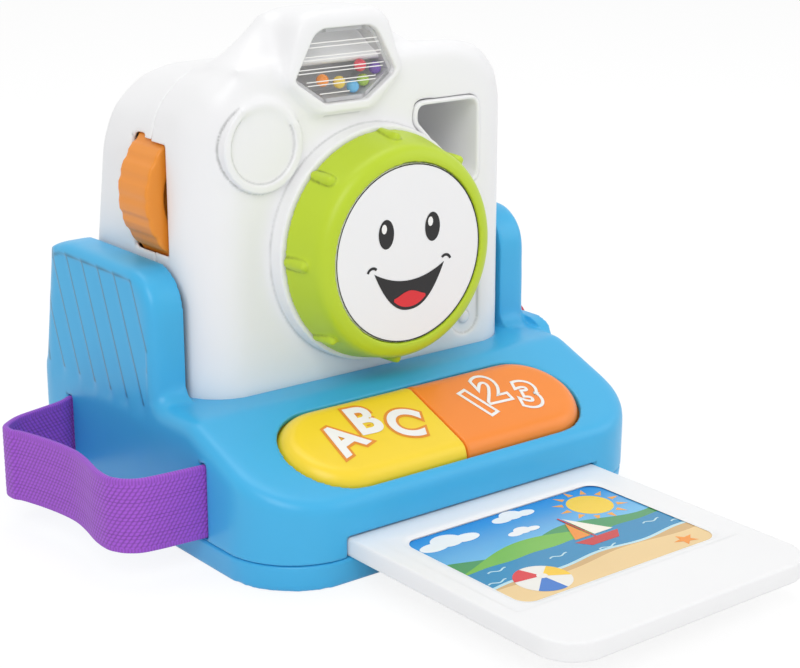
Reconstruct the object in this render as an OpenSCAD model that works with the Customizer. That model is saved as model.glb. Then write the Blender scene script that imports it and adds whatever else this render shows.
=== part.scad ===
// Toy camera for infants: a white two-shell camera body stands in a blue base. A picture card slides
// out of the base, two push buttons lie on its sloping platform, the lens and a side roller turn,
// and coloured beads rattle behind the flash window.
// Millimetres, +Z up, front towards -Y, origin on the underside at the middle of the base.

/* [Base] */
// Width of the base across its flanks
base_w = 153.4; // [150:0.1:170]
// Depth of the base from front to back
base_d = 145; // [143:0.5:160]
// Plan radius of the two front corners
base_front_r = 25; // [22:0.5:34]
// Plan radius of the two back corners
base_back_r = 13.5; // [10:0.5:18]
// Height of the line between the bottom cover and the upper housing
split_z = 8.6; // [8:0.1:10]
// How far the bottom edge draws in at the ground
bottom_inset = 1; // [0.5:0.1:4]
// Radius of the housing's rounded upper edges
edge_r = 4.6; // [3:0.1:6]
// Wall thickness of the base mouldings
wall = 2.4; // [2:0.1:2.8]
// Height of the deck that the camera body stands on
deck_z = 44.1; // [42:0.1:50]
// Height of the platform's plane above the ground at the front face
platform_front_z = 26.3; // [25:0.1:28]
// Slope of the button platform in degrees
platform_slope = 21.7; // [18:0.1:24]
// Depth of the deck recess that locates the camera body
recess_h = 1.2; // [0.6:0.1:1.4]

/* [Wings] */
// Thickness of each side wing
wing_t = 11.9; // [10:0.1:12.4]
// Height of the wings above the deck
wing_h = 41.5; // [34:0.5:50]
// Distance from the front of the base to the front of the wings
wing_set_back = 64.5; // [58:0.5:70]
// Radius of the wings' upper front corner
wing_front_r = 14; // [10:0.5:18]
// Radius of the wings' upper back corner
wing_back_r = 22; // [16:0.5:26]
// Radius of the wings' rounded outer edges
wing_edge_r = 3; // [2:0.1:3.4]
// Radius of the fillet between the deck and the front of a wing
wing_foot_r = 6; // [4:0.5:8]
// Distance between neighbouring slats on the wings' outer faces
slat_pitch = 10.2; // [8:0.1:12]
// Depth of each slat at its sunk edge
slat_depth = 0.7; // [0.3:0.1:1.2]

/* [Card] */
// Distance from the base's flank to the card's side edge
card_side = 26.7; // [26:0.1:32]
// Thickness of the picture card
card_t = 5.8; // [5:0.1:6.2]
// How far the card stands out of the slot
card_out = 93.7; // [85:0.1:100]
// Length of card that stays inside the slot
card_held = 15.6; // [12:0.1:20]
// How far the card can be pushed in
card_travel = 78; // [60:1:80]
// Radius of the card's outer corners
card_r = 12.2; // [8:0.1:16]
// Border of the card beside the picture
picture_side = 7; // [6:0.5:12]
// Length of the picture
picture_l = 58; // [50:0.5:66]
// Border of the card beyond the picture's outer edge
picture_border = 27; // [20:0.5:30]

/* [Buttons] */
// Distance from the base's flank to the end of the pair of buttons
pill_side = 20; // [19.8:0.1:26]
// Radius of the round ends of the pair
pill_r = 18.2; // [14:0.1:18.6]
// Distance from the front of the base to the middle of the buttons
pill_set_back = 21.2; // [20.8:0.1:23]
// How far the buttons stand out of the platform
pill_proud = 2.6; // [1.5:0.1:4]
// Radius of the buttons' rounded upper edge
pill_edge_r = 5.2; // [3:0.1:6]
// Travel of a button
pill_travel = 2.5; // [1.5:0.1:2.6]

/* [Camera body] */
// Width of the camera body
body_w = 127.4; // [122:0.1:127.6]
// Distance from the front of the base to the front of the body
body_set_back = 55.6; // [54:0.1:60]
// Depth of the body at the deck
body_d = 78.7; // [74:0.1:84]
// Height of the body's front above the deck
body_h = 103.9; // [100:0.1:112]
// Fall of the body's top from front to back
body_top_fall = 6; // [2:0.1:10]
// Lean of the body's back face in degrees
body_lean = 10.7; // [6:0.1:14]
// Radius of the body's upright front corners
body_front_r = 16.7; // [12:0.1:18]
// Radius of the body's back edges
body_back_r = 11; // [8:0.1:14]
// Radius of the front edge along the body's top
body_top_r = 5; // [4:0.1:8]
// Radius of the body's upper corners seen from the front
body_corner_r = 26; // [20:0.1:30]
// Wall thickness of the two shells
shell_t = 2.2; // [1.8:0.1:2.6]
// Distance from the body's front to the seam between the shells
seam_set_back = 26.8; // [26:0.1:30]

/* [Lens] */
// Height of the lens axis above the deck
lens_up = 42.6; // [41:0.1:46]
// Radius of the flange behind the lens
flange_r = 38.3; // [36:0.1:39]
// Height of the flange in front of the body
flange_h = 5.6; // [3:0.1:7]
// Radius of the lens ring at its back
ring_back_r = 37.1; // [35:0.1:38]
// Radius of the lens ring at its front
ring_front_r = 34.6; // [33:0.1:36]
// Depth of the lens ring
ring_h = 15.6; // [13:0.1:20]
// Radius of the face disc
disc_r = 28.8; // [25:0.1:29.5]
// Number of grip ribs round the lens ring
rib_count = 8; // [6:1:12]
// Length of the grip ribs
rib_l = 10; // [6:0.5:11]

/* [Roller] */
// Radius of the side roller
roller_r = 24.2; // [20:0.1:25]
// Width of the side roller
roller_w = 17.4; // [12:0.1:18]
// How far the roller stands out of the body's side
roller_out = 6.3; // [4:0.1:8]
// Height of the roller's axle above the deck
roller_up = 61; // [58:0.1:64]
// Number of grip grooves round the roller
roller_grooves = 24; // [16:1:32]

/* [Flash and viewfinder] */
// Offset of the flash to the left of the lens axis
flash_off = 10.7; // [6:0.1:12]
// Half width of the flash window at its widest
window_half_w = 18.9; // [16:0.1:19.5]
// Height of the flash window
window_h = 22.8; // [20:0.1:24]
// Height of the flash hump above the body's top
hump_h = 13.9; // [12:0.1:16]
// Depth of the flash hump from front to back
hump_d = 27; // [24:0.1:28]
// Diameter of the rattling beads
bead_d = 4; // [3:0.1:4.1]
// Width of the viewfinder opening
finder_w = 25; // [20:0.1:26]
// Height of the viewfinder opening at its outer side
finder_h = 26.9; // [24:0.1:28]
// Height of the viewfinder opening at its inner side
finder_inner_h = 6.9; // [6.2:0.1:8]

/* [Strap] */
// Width of the webbing
strap_w = 23.4; // [20:0.1:25]
// Thickness of the webbing
strap_t = 2.2; // [1.5:0.1:2.6]
// How far the strap's loop stands out of the flank
strap_reach = 30.5; // [24:0.5:40]
// Distance from the strap's rear slot to the back of the base
strap_back_gap = 25.5; // [24:0.5:31]

/* [Power switch] */
// Radius of the round ends of the switch's bezel
bezel_r = 12.3; // [10:0.1:12.8]
// Length of the bezel between its end centres
bezel_l = 26; // [22:0.5:30]
// How far the bezel stands out of the flank
bezel_h = 3.3; // [2:0.1:5]
// Travel of the sliding knob
knob_travel = 8; // [5:0.1:9]

/* [Hidden] */
$fn = 64;

// Shared small sizes
overrun = 1;
skin = 0.2;
// Clearance between pieces that move past each other
run_gap = 0.4;
// Clearance of a piece that is put in its seat
seat_gap = 0.15;
// Radial clearance of a pin in its bore
pin_gap = 0.05;
// Sides of the round shapes that are blended together
blend_fn = 32;

// Colours
blue = [0.31, 0.73, 0.92];
white = [0.97, 0.97, 0.97];
green = [0.76, 0.86, 0.24];
orange = [1.0, 0.62, 0.25];
yellow = [1.0, 0.88, 0.25];
purple = [0.59, 0.31, 0.75];
red = [0.8, 0.2, 0.25];
grey = [0.55, 0.56, 0.58];
steel = [0.75, 0.76, 0.78];
dark = [0.15, 0.16, 0.17];
board_green = [0.13, 0.42, 0.27];

// Base
base_half = base_w / 2;
base_front_y = -base_d / 2;
base_back_y = base_d / 2;
inner_half = base_half - wall;
crest_y = base_front_y + (deck_z - platform_front_z) / tan(platform_slope);
function platform_z(y) = platform_front_z + (y - base_front_y) * tan(platform_slope);

// Wings
wing_inner_x = base_half - wing_t;
wing_top_z = deck_z + wing_h;
wing_front_y = base_front_y + wing_set_back;
wing_foot_z = deck_z - 2 * edge_r;
wing_back_y = base_back_y - (wing_top_z - wing_back_r - wing_foot_z) * tan(body_lean);
slat_count = 7;
slat_lean = 21.3;
slat_margin = 3.6;
wing_foot_sink = 0.5;
slat_rise_share = 0.97;

// Screws: base, board, deck and body screws share one pattern of sizes
screw_r = 1.5;
screw_head_r = 2.9;
screw_head_h = 2;
screw_boss_r = 4.3;
base_screw_inset_x = 16.7;
base_screw_set_back = 52.5;
base_screw_inset_y = 12.5;
base_screw_front_y = base_front_y + base_screw_set_back;
base_screw_back_y = base_back_y - base_screw_inset_y;
base_screw_sink = 3.4;
base_screw_bite = 11;

// Battery compartment
cell_r = 7.25;
cell_l = 50.5;
cell_nub_r = 2.75;
cell_nub_h = 1.2;
cell_gap = 1.2;
contact_t = 0.5;
contact_room = 3.2;
contact_coils = 3;
contact_coil_r = 3.6;
contact_coil_taper = 0.3;
contact_coil_step_share = 0.85;
battery_back_gap = 7;
door_gap = 0.3;
door_tongue_half_w = 5;
door_tongue_l = 9;
door_tab_l = 2.4;
door_tab_w = 8;
battery_half_l = cell_l / 2 + contact_room;
battery_back_y = base_back_y - battery_back_gap - wall;
battery_front_y = battery_back_y - 4 * cell_r - 3 * cell_gap;
cell_z = wall + seat_gap + cell_r;
battery_top_z = cell_z + cell_r + cell_gap;
cell_back_y = battery_back_y - cell_gap - cell_r;
cell_front_y = battery_front_y + cell_gap + cell_r;
door_tab_x = battery_half_l / 2;
door_screw_y = battery_front_y - wall - door_tongue_l / 2;

// Card and its rails
card_lift = 0.3;
card_w = base_w - 2 * card_side;
card_z = split_z + card_lift;
card_front_y = base_front_y - card_out;
card_l = card_out + card_held;
card_end_y = card_front_y + card_l;
card_lug_w = 2.2;
card_lug_set_back = 3.6;
picture_w = card_w - 2 * picture_side;
picture_sink = 1;
picture_t = 0.6;
rail_lip = 3;
rail_wall = 1.8;
rail_set_back = 7.9;
rail_front_y = base_front_y + rail_set_back;
rail_back_y = card_end_y + card_travel + run_gap + rail_wall;

// Buttons and circuit board, in the platform's own plane
pill_half_l = base_half - pill_side;
pill_y = base_front_y + pill_set_back;
pill_gap = 0.4;
pill_flange_w = 1.8;
pill_flange_t = 1.4;
pill_wall = 2;
button_split = 0.25;
switch_w = 6;
switch_h = 1.6;
switch_cap_r = 1.7;
switch_cap_h = 0.7;
board_t = 1.6;
board_post_r = 2.7;
board_post_gap = 0.9;
board_post_y = 7.5;
board_rim = 0.6;
board_half_d = 13;
board_bite = 5;
board_drop = wall + pill_flange_t + pill_travel + switch_h + switch_cap_h + 2 * run_gap;
board_post_x = pill_half_l + pill_flange_w + board_post_r + board_post_gap;
board_half_l = board_post_x + board_post_r + board_rim;

// Camera body
body_half = body_w / 2;
body_z = deck_z - recess_h;
body_front_y = base_front_y + body_set_back;
body_back_y = body_front_y + body_d;
body_top_z = deck_z + body_h;
seam_y = body_front_y + seam_set_back;
function back_y(z) = body_back_y - (z - deck_z) * tan(body_lean);
function corner_edge_r(a) = body_top_r + (body_front_r - body_top_r) * pow(cos(a), 2);
body_screw_low_inset = 9.7;
body_screw_low_up = 11;
body_screw_high_inset = 22;
body_screw_high_drop = 13.3;
body_screw_bite = 10;
body_screw_seat = 6;
body_screw_low_x = body_half - body_screw_low_inset;
body_screw_low_z = deck_z + body_screw_low_up;
body_screw_high_x = body_half - body_screw_high_inset;
body_screw_high_z = body_top_z - body_screw_high_drop;
deck_screw_inset = 24;
deck_screw_set_back = 14;
deck_screw_seam_gap = 26;
deck_screw_x = body_half - deck_screw_inset;
deck_screw_front_y = body_front_y + deck_screw_set_back;
deck_screw_back_y = seam_y + deck_screw_seam_gap;
deck_boss_h = 9;
wire_hole_seam_gap = 10;
wire_hole_r = 5;

// Lens and its click mechanism
lens_z = deck_z + lens_up;
flange_y = body_front_y - flange_h;
ring_back_y = flange_y - run_gap;
ring_wall = 2.2;
ring_nose_r = 4.2;
ring_lip_h = 2.8;
ring_web_t = 2.2;
ring_web_front = ring_h - ring_lip_h;
disc_sink = 0.5;
hub_r = 5;
hub_bore_r = 1.4;
ratchet_r = 12;
ratchet_t = 4;
ratchet_teeth = 16;
ratchet_notch_r = 1.5;
ratchet_front_y = body_front_y + shell_t + run_gap;
ratchet_back_y = ratchet_front_y + ratchet_t;
rib_r = 1.7;
click_arm_l = 17;
click_arm_t = 1;
click_bump_r = 1.1;
click_foot_w = 5;

// Trim on the body's front
badge_r = 14.4;
badge_x = -40.8;
badge_up = 78.3;
badge_z = deck_z + badge_up;
badge_rim = 2.5;
badge_h = 1.9;
badge_sink = 1.3;
oblong_r = 6.2;
oblong_x = 41;
oblong_up = 9.8;
oblong_low_z = deck_z + oblong_up;
oblong_l = 17;
oblong_sink = 1.1;
oblong_pin_r = 2;

// Roller
roller_x = -(body_half + roller_out - roller_r);
roller_z = deck_z + roller_up;
roller_set_back = 20.1;
roller_front_y = body_front_y + roller_set_back;
roller_back_y = roller_front_y + roller_w;
roller_slot_gap = 1.4;
roller_slot_half_h = 16.6;
roller_groove_r = 3;
roller_groove_sink = 0.5;
roller_web_share = 0.72;
roller_web_sink = 3;
roller_boss_r = 5;
axle_r = 2;
axle_bite = 8;

// Flash hump, window and chamber
flash_x = -flash_off;
window_drop = 14.5;
window_z = body_top_z - window_drop;
window_mid_share = 0.36;
window_low_share = 0.48;
window_top_r = 6;
window_top_share = 0.4;
window_corner_r = 1.5;
window_t = 1.6;
window_sink = 0.7;
hump_front_h = 3.6;
hump_front_y = body_front_y - hump_front_h;
hump_top_r = 8;
hump_top_half_w = 18.9;
hump_side_half_w = 23;
hump_low_half_w = 13;
hump_low_frame = 4;
hump_low_z = window_z - hump_low_frame;
hump_edge = 2.4;
hump_back_edge = 7;
hump_back_share = 0.95;
hump_flare_half_w = 35;
hump_flare_low = 1;
hump_flare_h = 11.5;
hump_flare_bend = 1.3;
hump_flare_shares = [0, 0.15, 0.3, 0.5, 0.75, 1];
hump_top_z = body_top_z + hump_h;
chamber_t = 1.2;
chamber_d = 15;
window_back_y = hump_front_y + window_sink + window_t;
chamber_back_y = window_back_y + chamber_d;
lamp_half = 6;
lamp_t = 1.6;
lamp_led_r = 2.5;
lamp_led_h = 3;
bead_front_gap = 0.3;

// Viewfinder
finder_x = 19.8;
finder_up = 84.3;
finder_top_z = deck_z + finder_up;
finder_r = 2.8;
finder_wall = 1.4;
finder_proud = 0.8;

// Speaker on the back shell
speaker_r = 19;
speaker_up = 41;
speaker_z = deck_z + speaker_up;
speaker_t = 1.4;
speaker_cone_h = 7;
speaker_magnet_r = 10;
speaker_magnet_h = 6;
speaker_wall = 1.6;
grille_hole_r = 1.5;
grille_step = 5;

// Strap: its route runs from the front slot to the back one. Shares of the reach and of the span
strap_z = 9.6;
strap_set_back = 37.5;
strap_front_y = base_front_y + strap_set_back;
strap_span = base_d - strap_set_back - strap_back_gap;
strap_fit = 0.5;
strap_tail = 5;
strap_steps = 3;
clip_l = 5;
clip_half_w = 4.5;
strap_route_shares = [
    [0, 0], [0.24, 0.006], [0.46, 0.012], [0.66, 0.024], [0.78, 0.052], [0.84, 0.082], [0.88, 0.126],
    [0.87, 0.21], [0.81, 0.323], [0.78, 0.42], [0.8, 0.523], [0.86, 0.639], [0.94, 0.743],
    [0.99, 0.78], [0.98, 0.835], [0.87, 0.876], [0.71, 0.911], [0.44, 0.938], [0.16, 0.966], [0, 1]
];

// Power switch on the right flank
bezel_set_back = 62.7;
bezel_front_y = base_front_y + bezel_set_back;
bezel_z = 34.2;
knob_r = 5.2;
knob_half_h = 6.4;
knob_h = 6.4;
knob_set_back = 17;
knob_y = bezel_front_y + knob_set_back;
stem_half = 2.6;
stem_plate_half = 5.4;
stem_plate_t = 1.4;
switch_body_t = 5;
switch_ear_t = 3;

// Plan outline with one radius at the front corners and another at the back ones
module plan_outline(half_w, front, back, front_r, back_r) {
    for (side = [-1, 1]) {
        translate([side * (half_w - front_r), front + front_r]) circle(front_r);
        translate([side * (half_w - back_r), back - back_r]) circle(back_r);
    }
    translate([-half_w, front + front_r])
        square([2 * half_w, back - back_r - front - front_r]);
    translate([front_r - half_w, front])
        square([2 * (half_w - front_r), front_r]);
    translate([back_r - half_w, back - back_r])
        square([2 * (half_w - back_r), back_r]);
}

module base_outline(inset) {
    plan_outline(base_half - inset, base_front_y + inset, base_back_y - inset,
        base_front_r - inset, base_back_r - inset);
}

module body_outline(inset) {
    plan_outline(body_half - inset, body_front_y + inset, body_back_y - inset,
        body_front_r - inset, body_back_r - inset);
}

module torus(major, tube) {
    rotate_extrude() translate([major, 0]) circle(tube);
}

// Flat bar with round ends, along X, standing on the plane z = 0
module stadium(half_l, r, h) {
    for (side = [-1, 1]) translate([side * half_l, 0, 0]) cylinder(r = r, h = h);
    translate([-half_l, -r, 0]) cube([2 * half_l, 2 * r, h]);
}

// Box given by its two opposite corners
module box(low, high) {
    translate(low) cube(high - low);
}

// Rod along Y between two depths
module y_rod(x, z, r, from_y, to_y) {
    translate([x, to_y, z]) rotate([90, 0, 0]) cylinder(r = r, h = to_y - from_y);
}

// Screw with its head at the bottom and its shank pointing up
module screw(length) {
    cylinder(r = screw_head_r, h = screw_head_h);
    translate([0, 0, screw_head_h]) cylinder(r = screw_r, h = length);
}

module base_screw_places() {
    for (side = [-1, 1], y = [base_screw_front_y, base_screw_back_y])
        translate([side * (base_half - base_screw_inset_x), y, 0]) children();
}

module deck_screw_places() {
    for (side = [-1, 1], y = [deck_screw_front_y, deck_screw_back_y])
        translate([side * deck_screw_x, y, deck_z - wall]) children();
}

// Frame of the platform: z = 0 is its surface and y runs up its slope
module on_platform() {
    translate([0, pill_y, platform_z(pill_y)]) rotate([platform_slope, 0, 0]) children();
}

module board_post_places() {
    for (side = [-1, 1], end = [-1, 1])
        on_platform() translate([side * board_post_x, end * board_post_y, 0]) children();
}

// Frame of the body's back face: z = 0 is its surface and z points out of it
module on_back(x, z) {
    translate([x, back_y(z), z]) rotate([body_lean - 90, 0, 0]) children();
}

// Rounded solid of the upper housing without its wings
module housing_form(inset, drop) {
    front_r = base_front_r - edge_r;
    front_y = base_front_y + edge_r + front_r * cos(platform_slope);
    hull() {
        translate([0, 0, split_z - drop]) linear_extrude(skin) base_outline(inset, $fn = blend_fn * 2);
        for (side = [-1, 1]) {
            translate([side * (base_half - base_front_r), front_y,
                platform_z(front_y) - edge_r / cos(platform_slope)])
                rotate([platform_slope, 0, 0]) torus(front_r, edge_r - inset, $fn = blend_fn);
            translate([side * (base_half - edge_r), crest_y + edge_r * tan(platform_slope / 2),
                deck_z - edge_r]) sphere(edge_r - inset, $fn = blend_fn);
            translate([side * (base_half - base_back_r), base_back_y - base_back_r, deck_z - edge_r])
                torus(base_back_r - edge_r, edge_r - inset, $fn = blend_fn);
        }
    }
}

// One wing: rounded on its outer edge and its back corner, flat towards the camera body
module wing(side) {
    corners = [
        [wing_front_y + wing_front_r, wing_front_r],
        [wing_back_y - wing_back_r, wing_back_r]
    ];
    difference() {
        hull() {
            for (corner = corners)
                translate([0, corner[0], wing_top_z - corner[1]]) rotate([0, side * 90, 0]) {
                    translate([0, 0, base_half - wing_edge_r])
                        torus(corner[1] - wing_edge_r, wing_edge_r, $fn = blend_fn);
                    translate([0, 0, wing_inner_x]) cylinder(r = corner[1], h = skin, $fn = blend_fn);
                }
            for (x = [base_half - wing_edge_r, wing_inner_x])
                translate([side * x, wing_front_y + wing_edge_r, wing_foot_z])
                    cylinder(r = wing_edge_r, h = skin, $fn = blend_fn);
            translate([side * (base_half - base_back_r), base_back_y - base_back_r, wing_foot_z])
                cylinder(r = base_back_r - 2 * pin_gap, h = skin, $fn = blend_fn);
        }
        box([-wing_inner_x, -base_d, deck_z], [wing_inner_x, base_d, 2 * wing_top_z]);
        translate([0, 0, wing_foot_z]) multmatrix([[1, 0, 0, 0], [0, 1, -tan(body_lean), 0], [0, 0, 1, 0]])
            difference() {
                box([-base_w, base_back_y - base_back_r, 0], [base_w, base_d, wing_top_z]);
                translate([0, 0, -overrun]) linear_extrude(wing_top_z + 2 * overrun)
                    base_outline(0, $fn = blend_fn * 2);
            }
    }
}

// Concave fillet from the deck up to the front of a wing, rounded along its outer edge
module wing_foot(side) {
    round_r = edge_r + wing_foot_sink;
    width = wing_t - pin_gap;
    depth = 2 * edge_r;
    translate([0, wing_front_y - wing_foot_r, deck_z + wing_foot_r])
        mirror([side < 0 ? 1 : 0, 0, 0]) rotate([0, 90, 0]) rotate_extrude(angle = 90)
            translate([wing_foot_r, wing_inner_x]) {
                square([depth, width - round_r]);
                translate([round_r, 0]) square([depth - round_r, width]);
                translate([round_r, width - round_r]) circle(round_r);
            }
}

// Room inside a wing, open to the base below
module wing_room(side) {
    low = min(side * (wing_inner_x + wall), side * (base_half - wall));
    high = max(side * (wing_inner_x + wall), side * (base_half - wall));
    box([low, wing_front_y + wing_front_r, deck_z - wall - overrun],
        [high, wing_back_y - wing_back_r, wing_top_z - 2 * wall]);
}

// Row of ramped slats sunk into the outer face of a wing
module wing_slats(side) {
    low_z = deck_z - slat_margin;
    high_z = wing_top_z - slat_margin;
    run = (high_z - low_z) / cos(slat_lean);
    first_y = wing_front_y + slat_margin - run * sin(slat_lean) / 2;
    intersection() {
        for (i = [0 : slat_count - 1])
            translate([side * base_half, first_y + i * slat_pitch, low_z])
                rotate([-slat_lean, 0, 0]) linear_extrude(run + slat_margin)
                    polygon([
                        [side * overrun, 0],
                        [-side * slat_depth, 0],
                        [0, slat_pitch * slat_rise_share],
                        [side * overrun, slat_pitch * slat_rise_share]
                    ]);
        hull() for (corner = [
            [wing_front_y + wing_front_r, wing_top_z - wing_front_r, wing_front_r],
            [wing_back_y - wing_back_r, wing_top_z - wing_back_r, wing_back_r],
            [wing_front_y + wing_front_r, low_z, wing_front_r],
            [wing_back_y - wing_back_r, low_z, wing_back_r]])
            translate([side * base_half, corner[0], corner[1]]) rotate([0, 90, 0])
                cylinder(r = corner[2] - slat_margin, h = 2 * overrun, center = true, $fn = blend_fn);
    }
}

module base_bottom_cover() {
    color(blue) difference() {
        union() {
            difference() {
                hull() {
                    linear_extrude(skin) base_outline(bottom_inset, $fn = blend_fn * 2);
                    translate([0, 0, split_z - skin]) linear_extrude(skin)
                        base_outline(0, $fn = blend_fn * 2);
                }
                translate([0, 0, wall]) linear_extrude(split_z) base_outline(bottom_inset + wall);
            }
            base_screw_places() cylinder(r = screw_boss_r, h = split_z);
            box([-battery_half_l - wall, battery_front_y - wall, wall / 2],
                [battery_half_l + wall, battery_back_y + wall, battery_top_z + wall]);
            box([-door_tongue_half_w, battery_front_y - wall - door_tongue_l, wall],
                [door_tongue_half_w, battery_front_y - wall / 2, split_z - run_gap]);
        }
        box([-battery_half_l, battery_front_y, -overrun], [battery_half_l, battery_back_y, battery_top_z]);
        box([-door_tongue_half_w - door_gap, battery_front_y - wall - door_tongue_l - door_gap, -overrun],
            [door_tongue_half_w + door_gap, battery_front_y + overrun, wall]);
        for (side = [-1, 1])
            box([side * door_tab_x - door_tab_w / 2 - door_gap, battery_back_y - overrun, wall + door_gap],
                [side * door_tab_x + door_tab_w / 2 + door_gap, battery_back_y + door_tab_l + door_gap,
                    2 * wall + 2 * door_gap]);
        translate([0, door_screw_y, 0]) cylinder(r = screw_r + pin_gap, h = split_z + overrun);
        base_screw_places() {
            translate([0, 0, -overrun]) cylinder(r = screw_head_r + run_gap, h = base_screw_sink + overrun);
            cylinder(r = screw_r + run_gap, h = split_z + overrun);
        }
    }
}

module base_upper_housing() {
    color(blue) difference() {
        union() {
            difference() {
                union() {
                    housing_form(0, 0);
                    for (side = [-1, 1]) {
                        wing(side);
                        wing_foot(side);
                    }
                }
                housing_form(wall, overrun);
                for (side = [-1, 1]) {
                    wing_room(side);
                    wing_slats(side);
                }
            }
            base_screw_places() translate([0, 0, split_z])
                cylinder(r = screw_boss_r, h = deck_z - split_z - wall / 2);
            board_post_places() translate([0, 0, -board_drop])
                cylinder(r = board_post_r, h = board_drop - wall / 2);
            translate([base_half - wall / 2, bezel_front_y + bezel_l / 2, bezel_z])
                rotate([90, 0, 90]) stadium(bezel_l / 2, bezel_r, bezel_h + wall / 2);
        }
        translate([0, 0, body_z]) linear_extrude(body_h) body_outline(-seat_gap);
        on_platform() translate([0, 0, -2 * wall])
            stadium(pill_half_l - pill_r, pill_r + pill_gap, 4 * wall);
        box([-card_w / 2 - run_gap, base_front_y - overrun, split_z - overrun],
            [card_w / 2 + run_gap, base_front_y + 2 * wall, card_z + card_t + run_gap]);
        for (y = [strap_front_y, strap_front_y + strap_span])
            box([-base_half - overrun, y - strap_t / 2 - strap_fit, strap_z - strap_fit],
                [-inner_half + overrun, y + strap_t / 2 + strap_fit, strap_z + strap_w + strap_fit]);
        box([base_half - 2 * wall, knob_y - stem_half - run_gap - knob_travel, bezel_z - stem_half - run_gap],
            [base_half + bezel_h + overrun, knob_y + stem_half + run_gap, bezel_z + stem_half + run_gap]);
        deck_screw_places() cylinder(r = screw_r + run_gap, h = 2 * wall);
        translate([0, seam_y + wire_hole_seam_gap, deck_z - 2 * wall])
            cylinder(r = wire_hole_r, h = 4 * wall);
        base_screw_places() translate([0, 0, split_z - overrun])
            cylinder(r = screw_r + pin_gap, h = base_screw_bite + 2 * overrun);
        board_post_places() translate([0, 0, -board_drop - overrun])
            cylinder(r = screw_r + pin_gap, h = board_bite + overrun);
    }
}

module base_screws() {
    color(steel) base_screw_places() translate([0, 0, base_screw_sink - screw_head_h])
        screw(split_z - base_screw_sink + base_screw_bite);
}

module battery_door() {
    color(blue) difference() {
        union() {
            box([-battery_half_l + door_gap, battery_front_y + door_gap, 0],
                [battery_half_l - door_gap, battery_back_y - door_gap, wall]);
            box([-door_tongue_half_w, battery_front_y - wall - door_tongue_l, 0],
                [door_tongue_half_w, battery_front_y + 2 * door_gap, wall - door_gap]);
            for (side = [-1, 1]) {
                box([side * door_tab_x - door_tab_w / 2, battery_back_y - door_tab_l, wall - door_gap],
                    [side * door_tab_x + door_tab_w / 2, battery_back_y - door_gap, wall + 2 * door_gap]);
                box([side * door_tab_x - door_tab_w / 2, battery_back_y - door_tab_l, wall + 2 * door_gap],
                    [side * door_tab_x + door_tab_w / 2, battery_back_y + door_tab_l, 2 * wall]);
            }
        }
        translate([0, door_screw_y, -overrun]) {
            cylinder(r = screw_r + run_gap, h = 2 * wall);
            cylinder(r = screw_head_r + run_gap, h = overrun + wall / 2);
        }
    }
}

module battery_door_screw() {
    color(steel) translate([0, door_screw_y, wall / 2]) {
        translate([0, 0, -wall / 2 + pin_gap]) cylinder(r = screw_head_r, h = wall / 2 - pin_gap);
        cylinder(r = screw_r, h = split_z - wall);
    }
}

module battery_cells() {
    color(dark) for (cell = [[cell_front_y, 1], [cell_back_y, -1]])
        translate([0, cell[0], cell_z]) rotate([0, cell[1] * 90, 0]) {
            translate([0, 0, -cell_l / 2]) cylinder(r = cell_r, h = cell_l - cell_nub_h);
            translate([0, 0, cell_l / 2 - cell_nub_h]) cylinder(r = cell_nub_r, h = cell_nub_h);
        }
}

// Flat plate at each positive end, plate with a small conical spring at each negative end
module battery_contacts() {
    wire_r = (contact_room - contact_t - pin_gap) / ((2 * contact_coils - 1) * contact_coil_step_share + 1);
    color(steel) for (cell = [[cell_front_y, 1], [cell_back_y, -1]])
        translate([0, cell[0], cell_z]) mirror([cell[1] < 0 ? 1 : 0, 0, 0]) {
            box([cell_l / 2, -cell_r / 2, -cell_r / 2], [battery_half_l, cell_r / 2, cell_r / 2]);
            box([-battery_half_l, -cell_r / 2, -cell_r / 2],
                [-battery_half_l + contact_t, cell_r / 2, cell_r / 2]);
            translate([-battery_half_l + contact_t, 0, 0]) rotate([0, 90, 0])
                for (i = [0 : contact_coils - 1])
                    translate([0, 0, wire_r * (2 * i + 1) * contact_coil_step_share])
                        torus(contact_coil_r - contact_coil_taper * i, wire_r);
        }
}

module card_rails() {
    room = card_w / 2 + card_lug_w + run_gap;
    color(grey) for (side = [-1, 1]) mirror([side < 0 ? 1 : 0, 0, 0]) difference() {
        box([card_w / 2 - rail_lip, rail_front_y, wall],
            [room + rail_wall, rail_back_y, card_z + card_t + run_gap + rail_wall]);
        box([0, rail_front_y - overrun, card_z - run_gap],
            [room, rail_back_y - rail_wall, card_z + card_t + run_gap]);
    }
}

module print_card() {
    color(white) difference() {
        union() {
            translate([0, 0, card_z]) linear_extrude(card_t)
                plan_outline(card_w / 2, card_front_y, card_end_y, card_r, card_lug_w);
            box([-card_w / 2 - card_lug_w, base_front_y + card_lug_set_back, card_z],
                [card_w / 2 + card_lug_w, card_end_y - card_lug_w, card_z + card_t]);
        }
        box([-picture_w / 2 - seat_gap, card_front_y + picture_border - seat_gap,
                card_z + card_t - picture_sink],
            [picture_w / 2 + seat_gap, card_front_y + picture_border + picture_l + seat_gap,
                card_z + card_t + overrun]);
        for (side = [-1, 1])
            translate([0, card_front_y + card_r, card_z - overrun])
                mirror([side < 0 ? 1 : 0, 0, 0])
                    box([card_r / 2, 0, 0],
                        [card_w / 2 - card_r / 2, card_l - 2 * card_r, overrun + card_t / 2 - picture_sink]);
    }
}

module card_picture() {
    color([0.45, 0.75, 0.9]) translate([0, 0, card_z + card_t - picture_sink])
        box([-picture_w / 2, card_front_y + picture_border, 0],
            [picture_w / 2, card_front_y + picture_border + picture_l, picture_t]);
}

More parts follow.
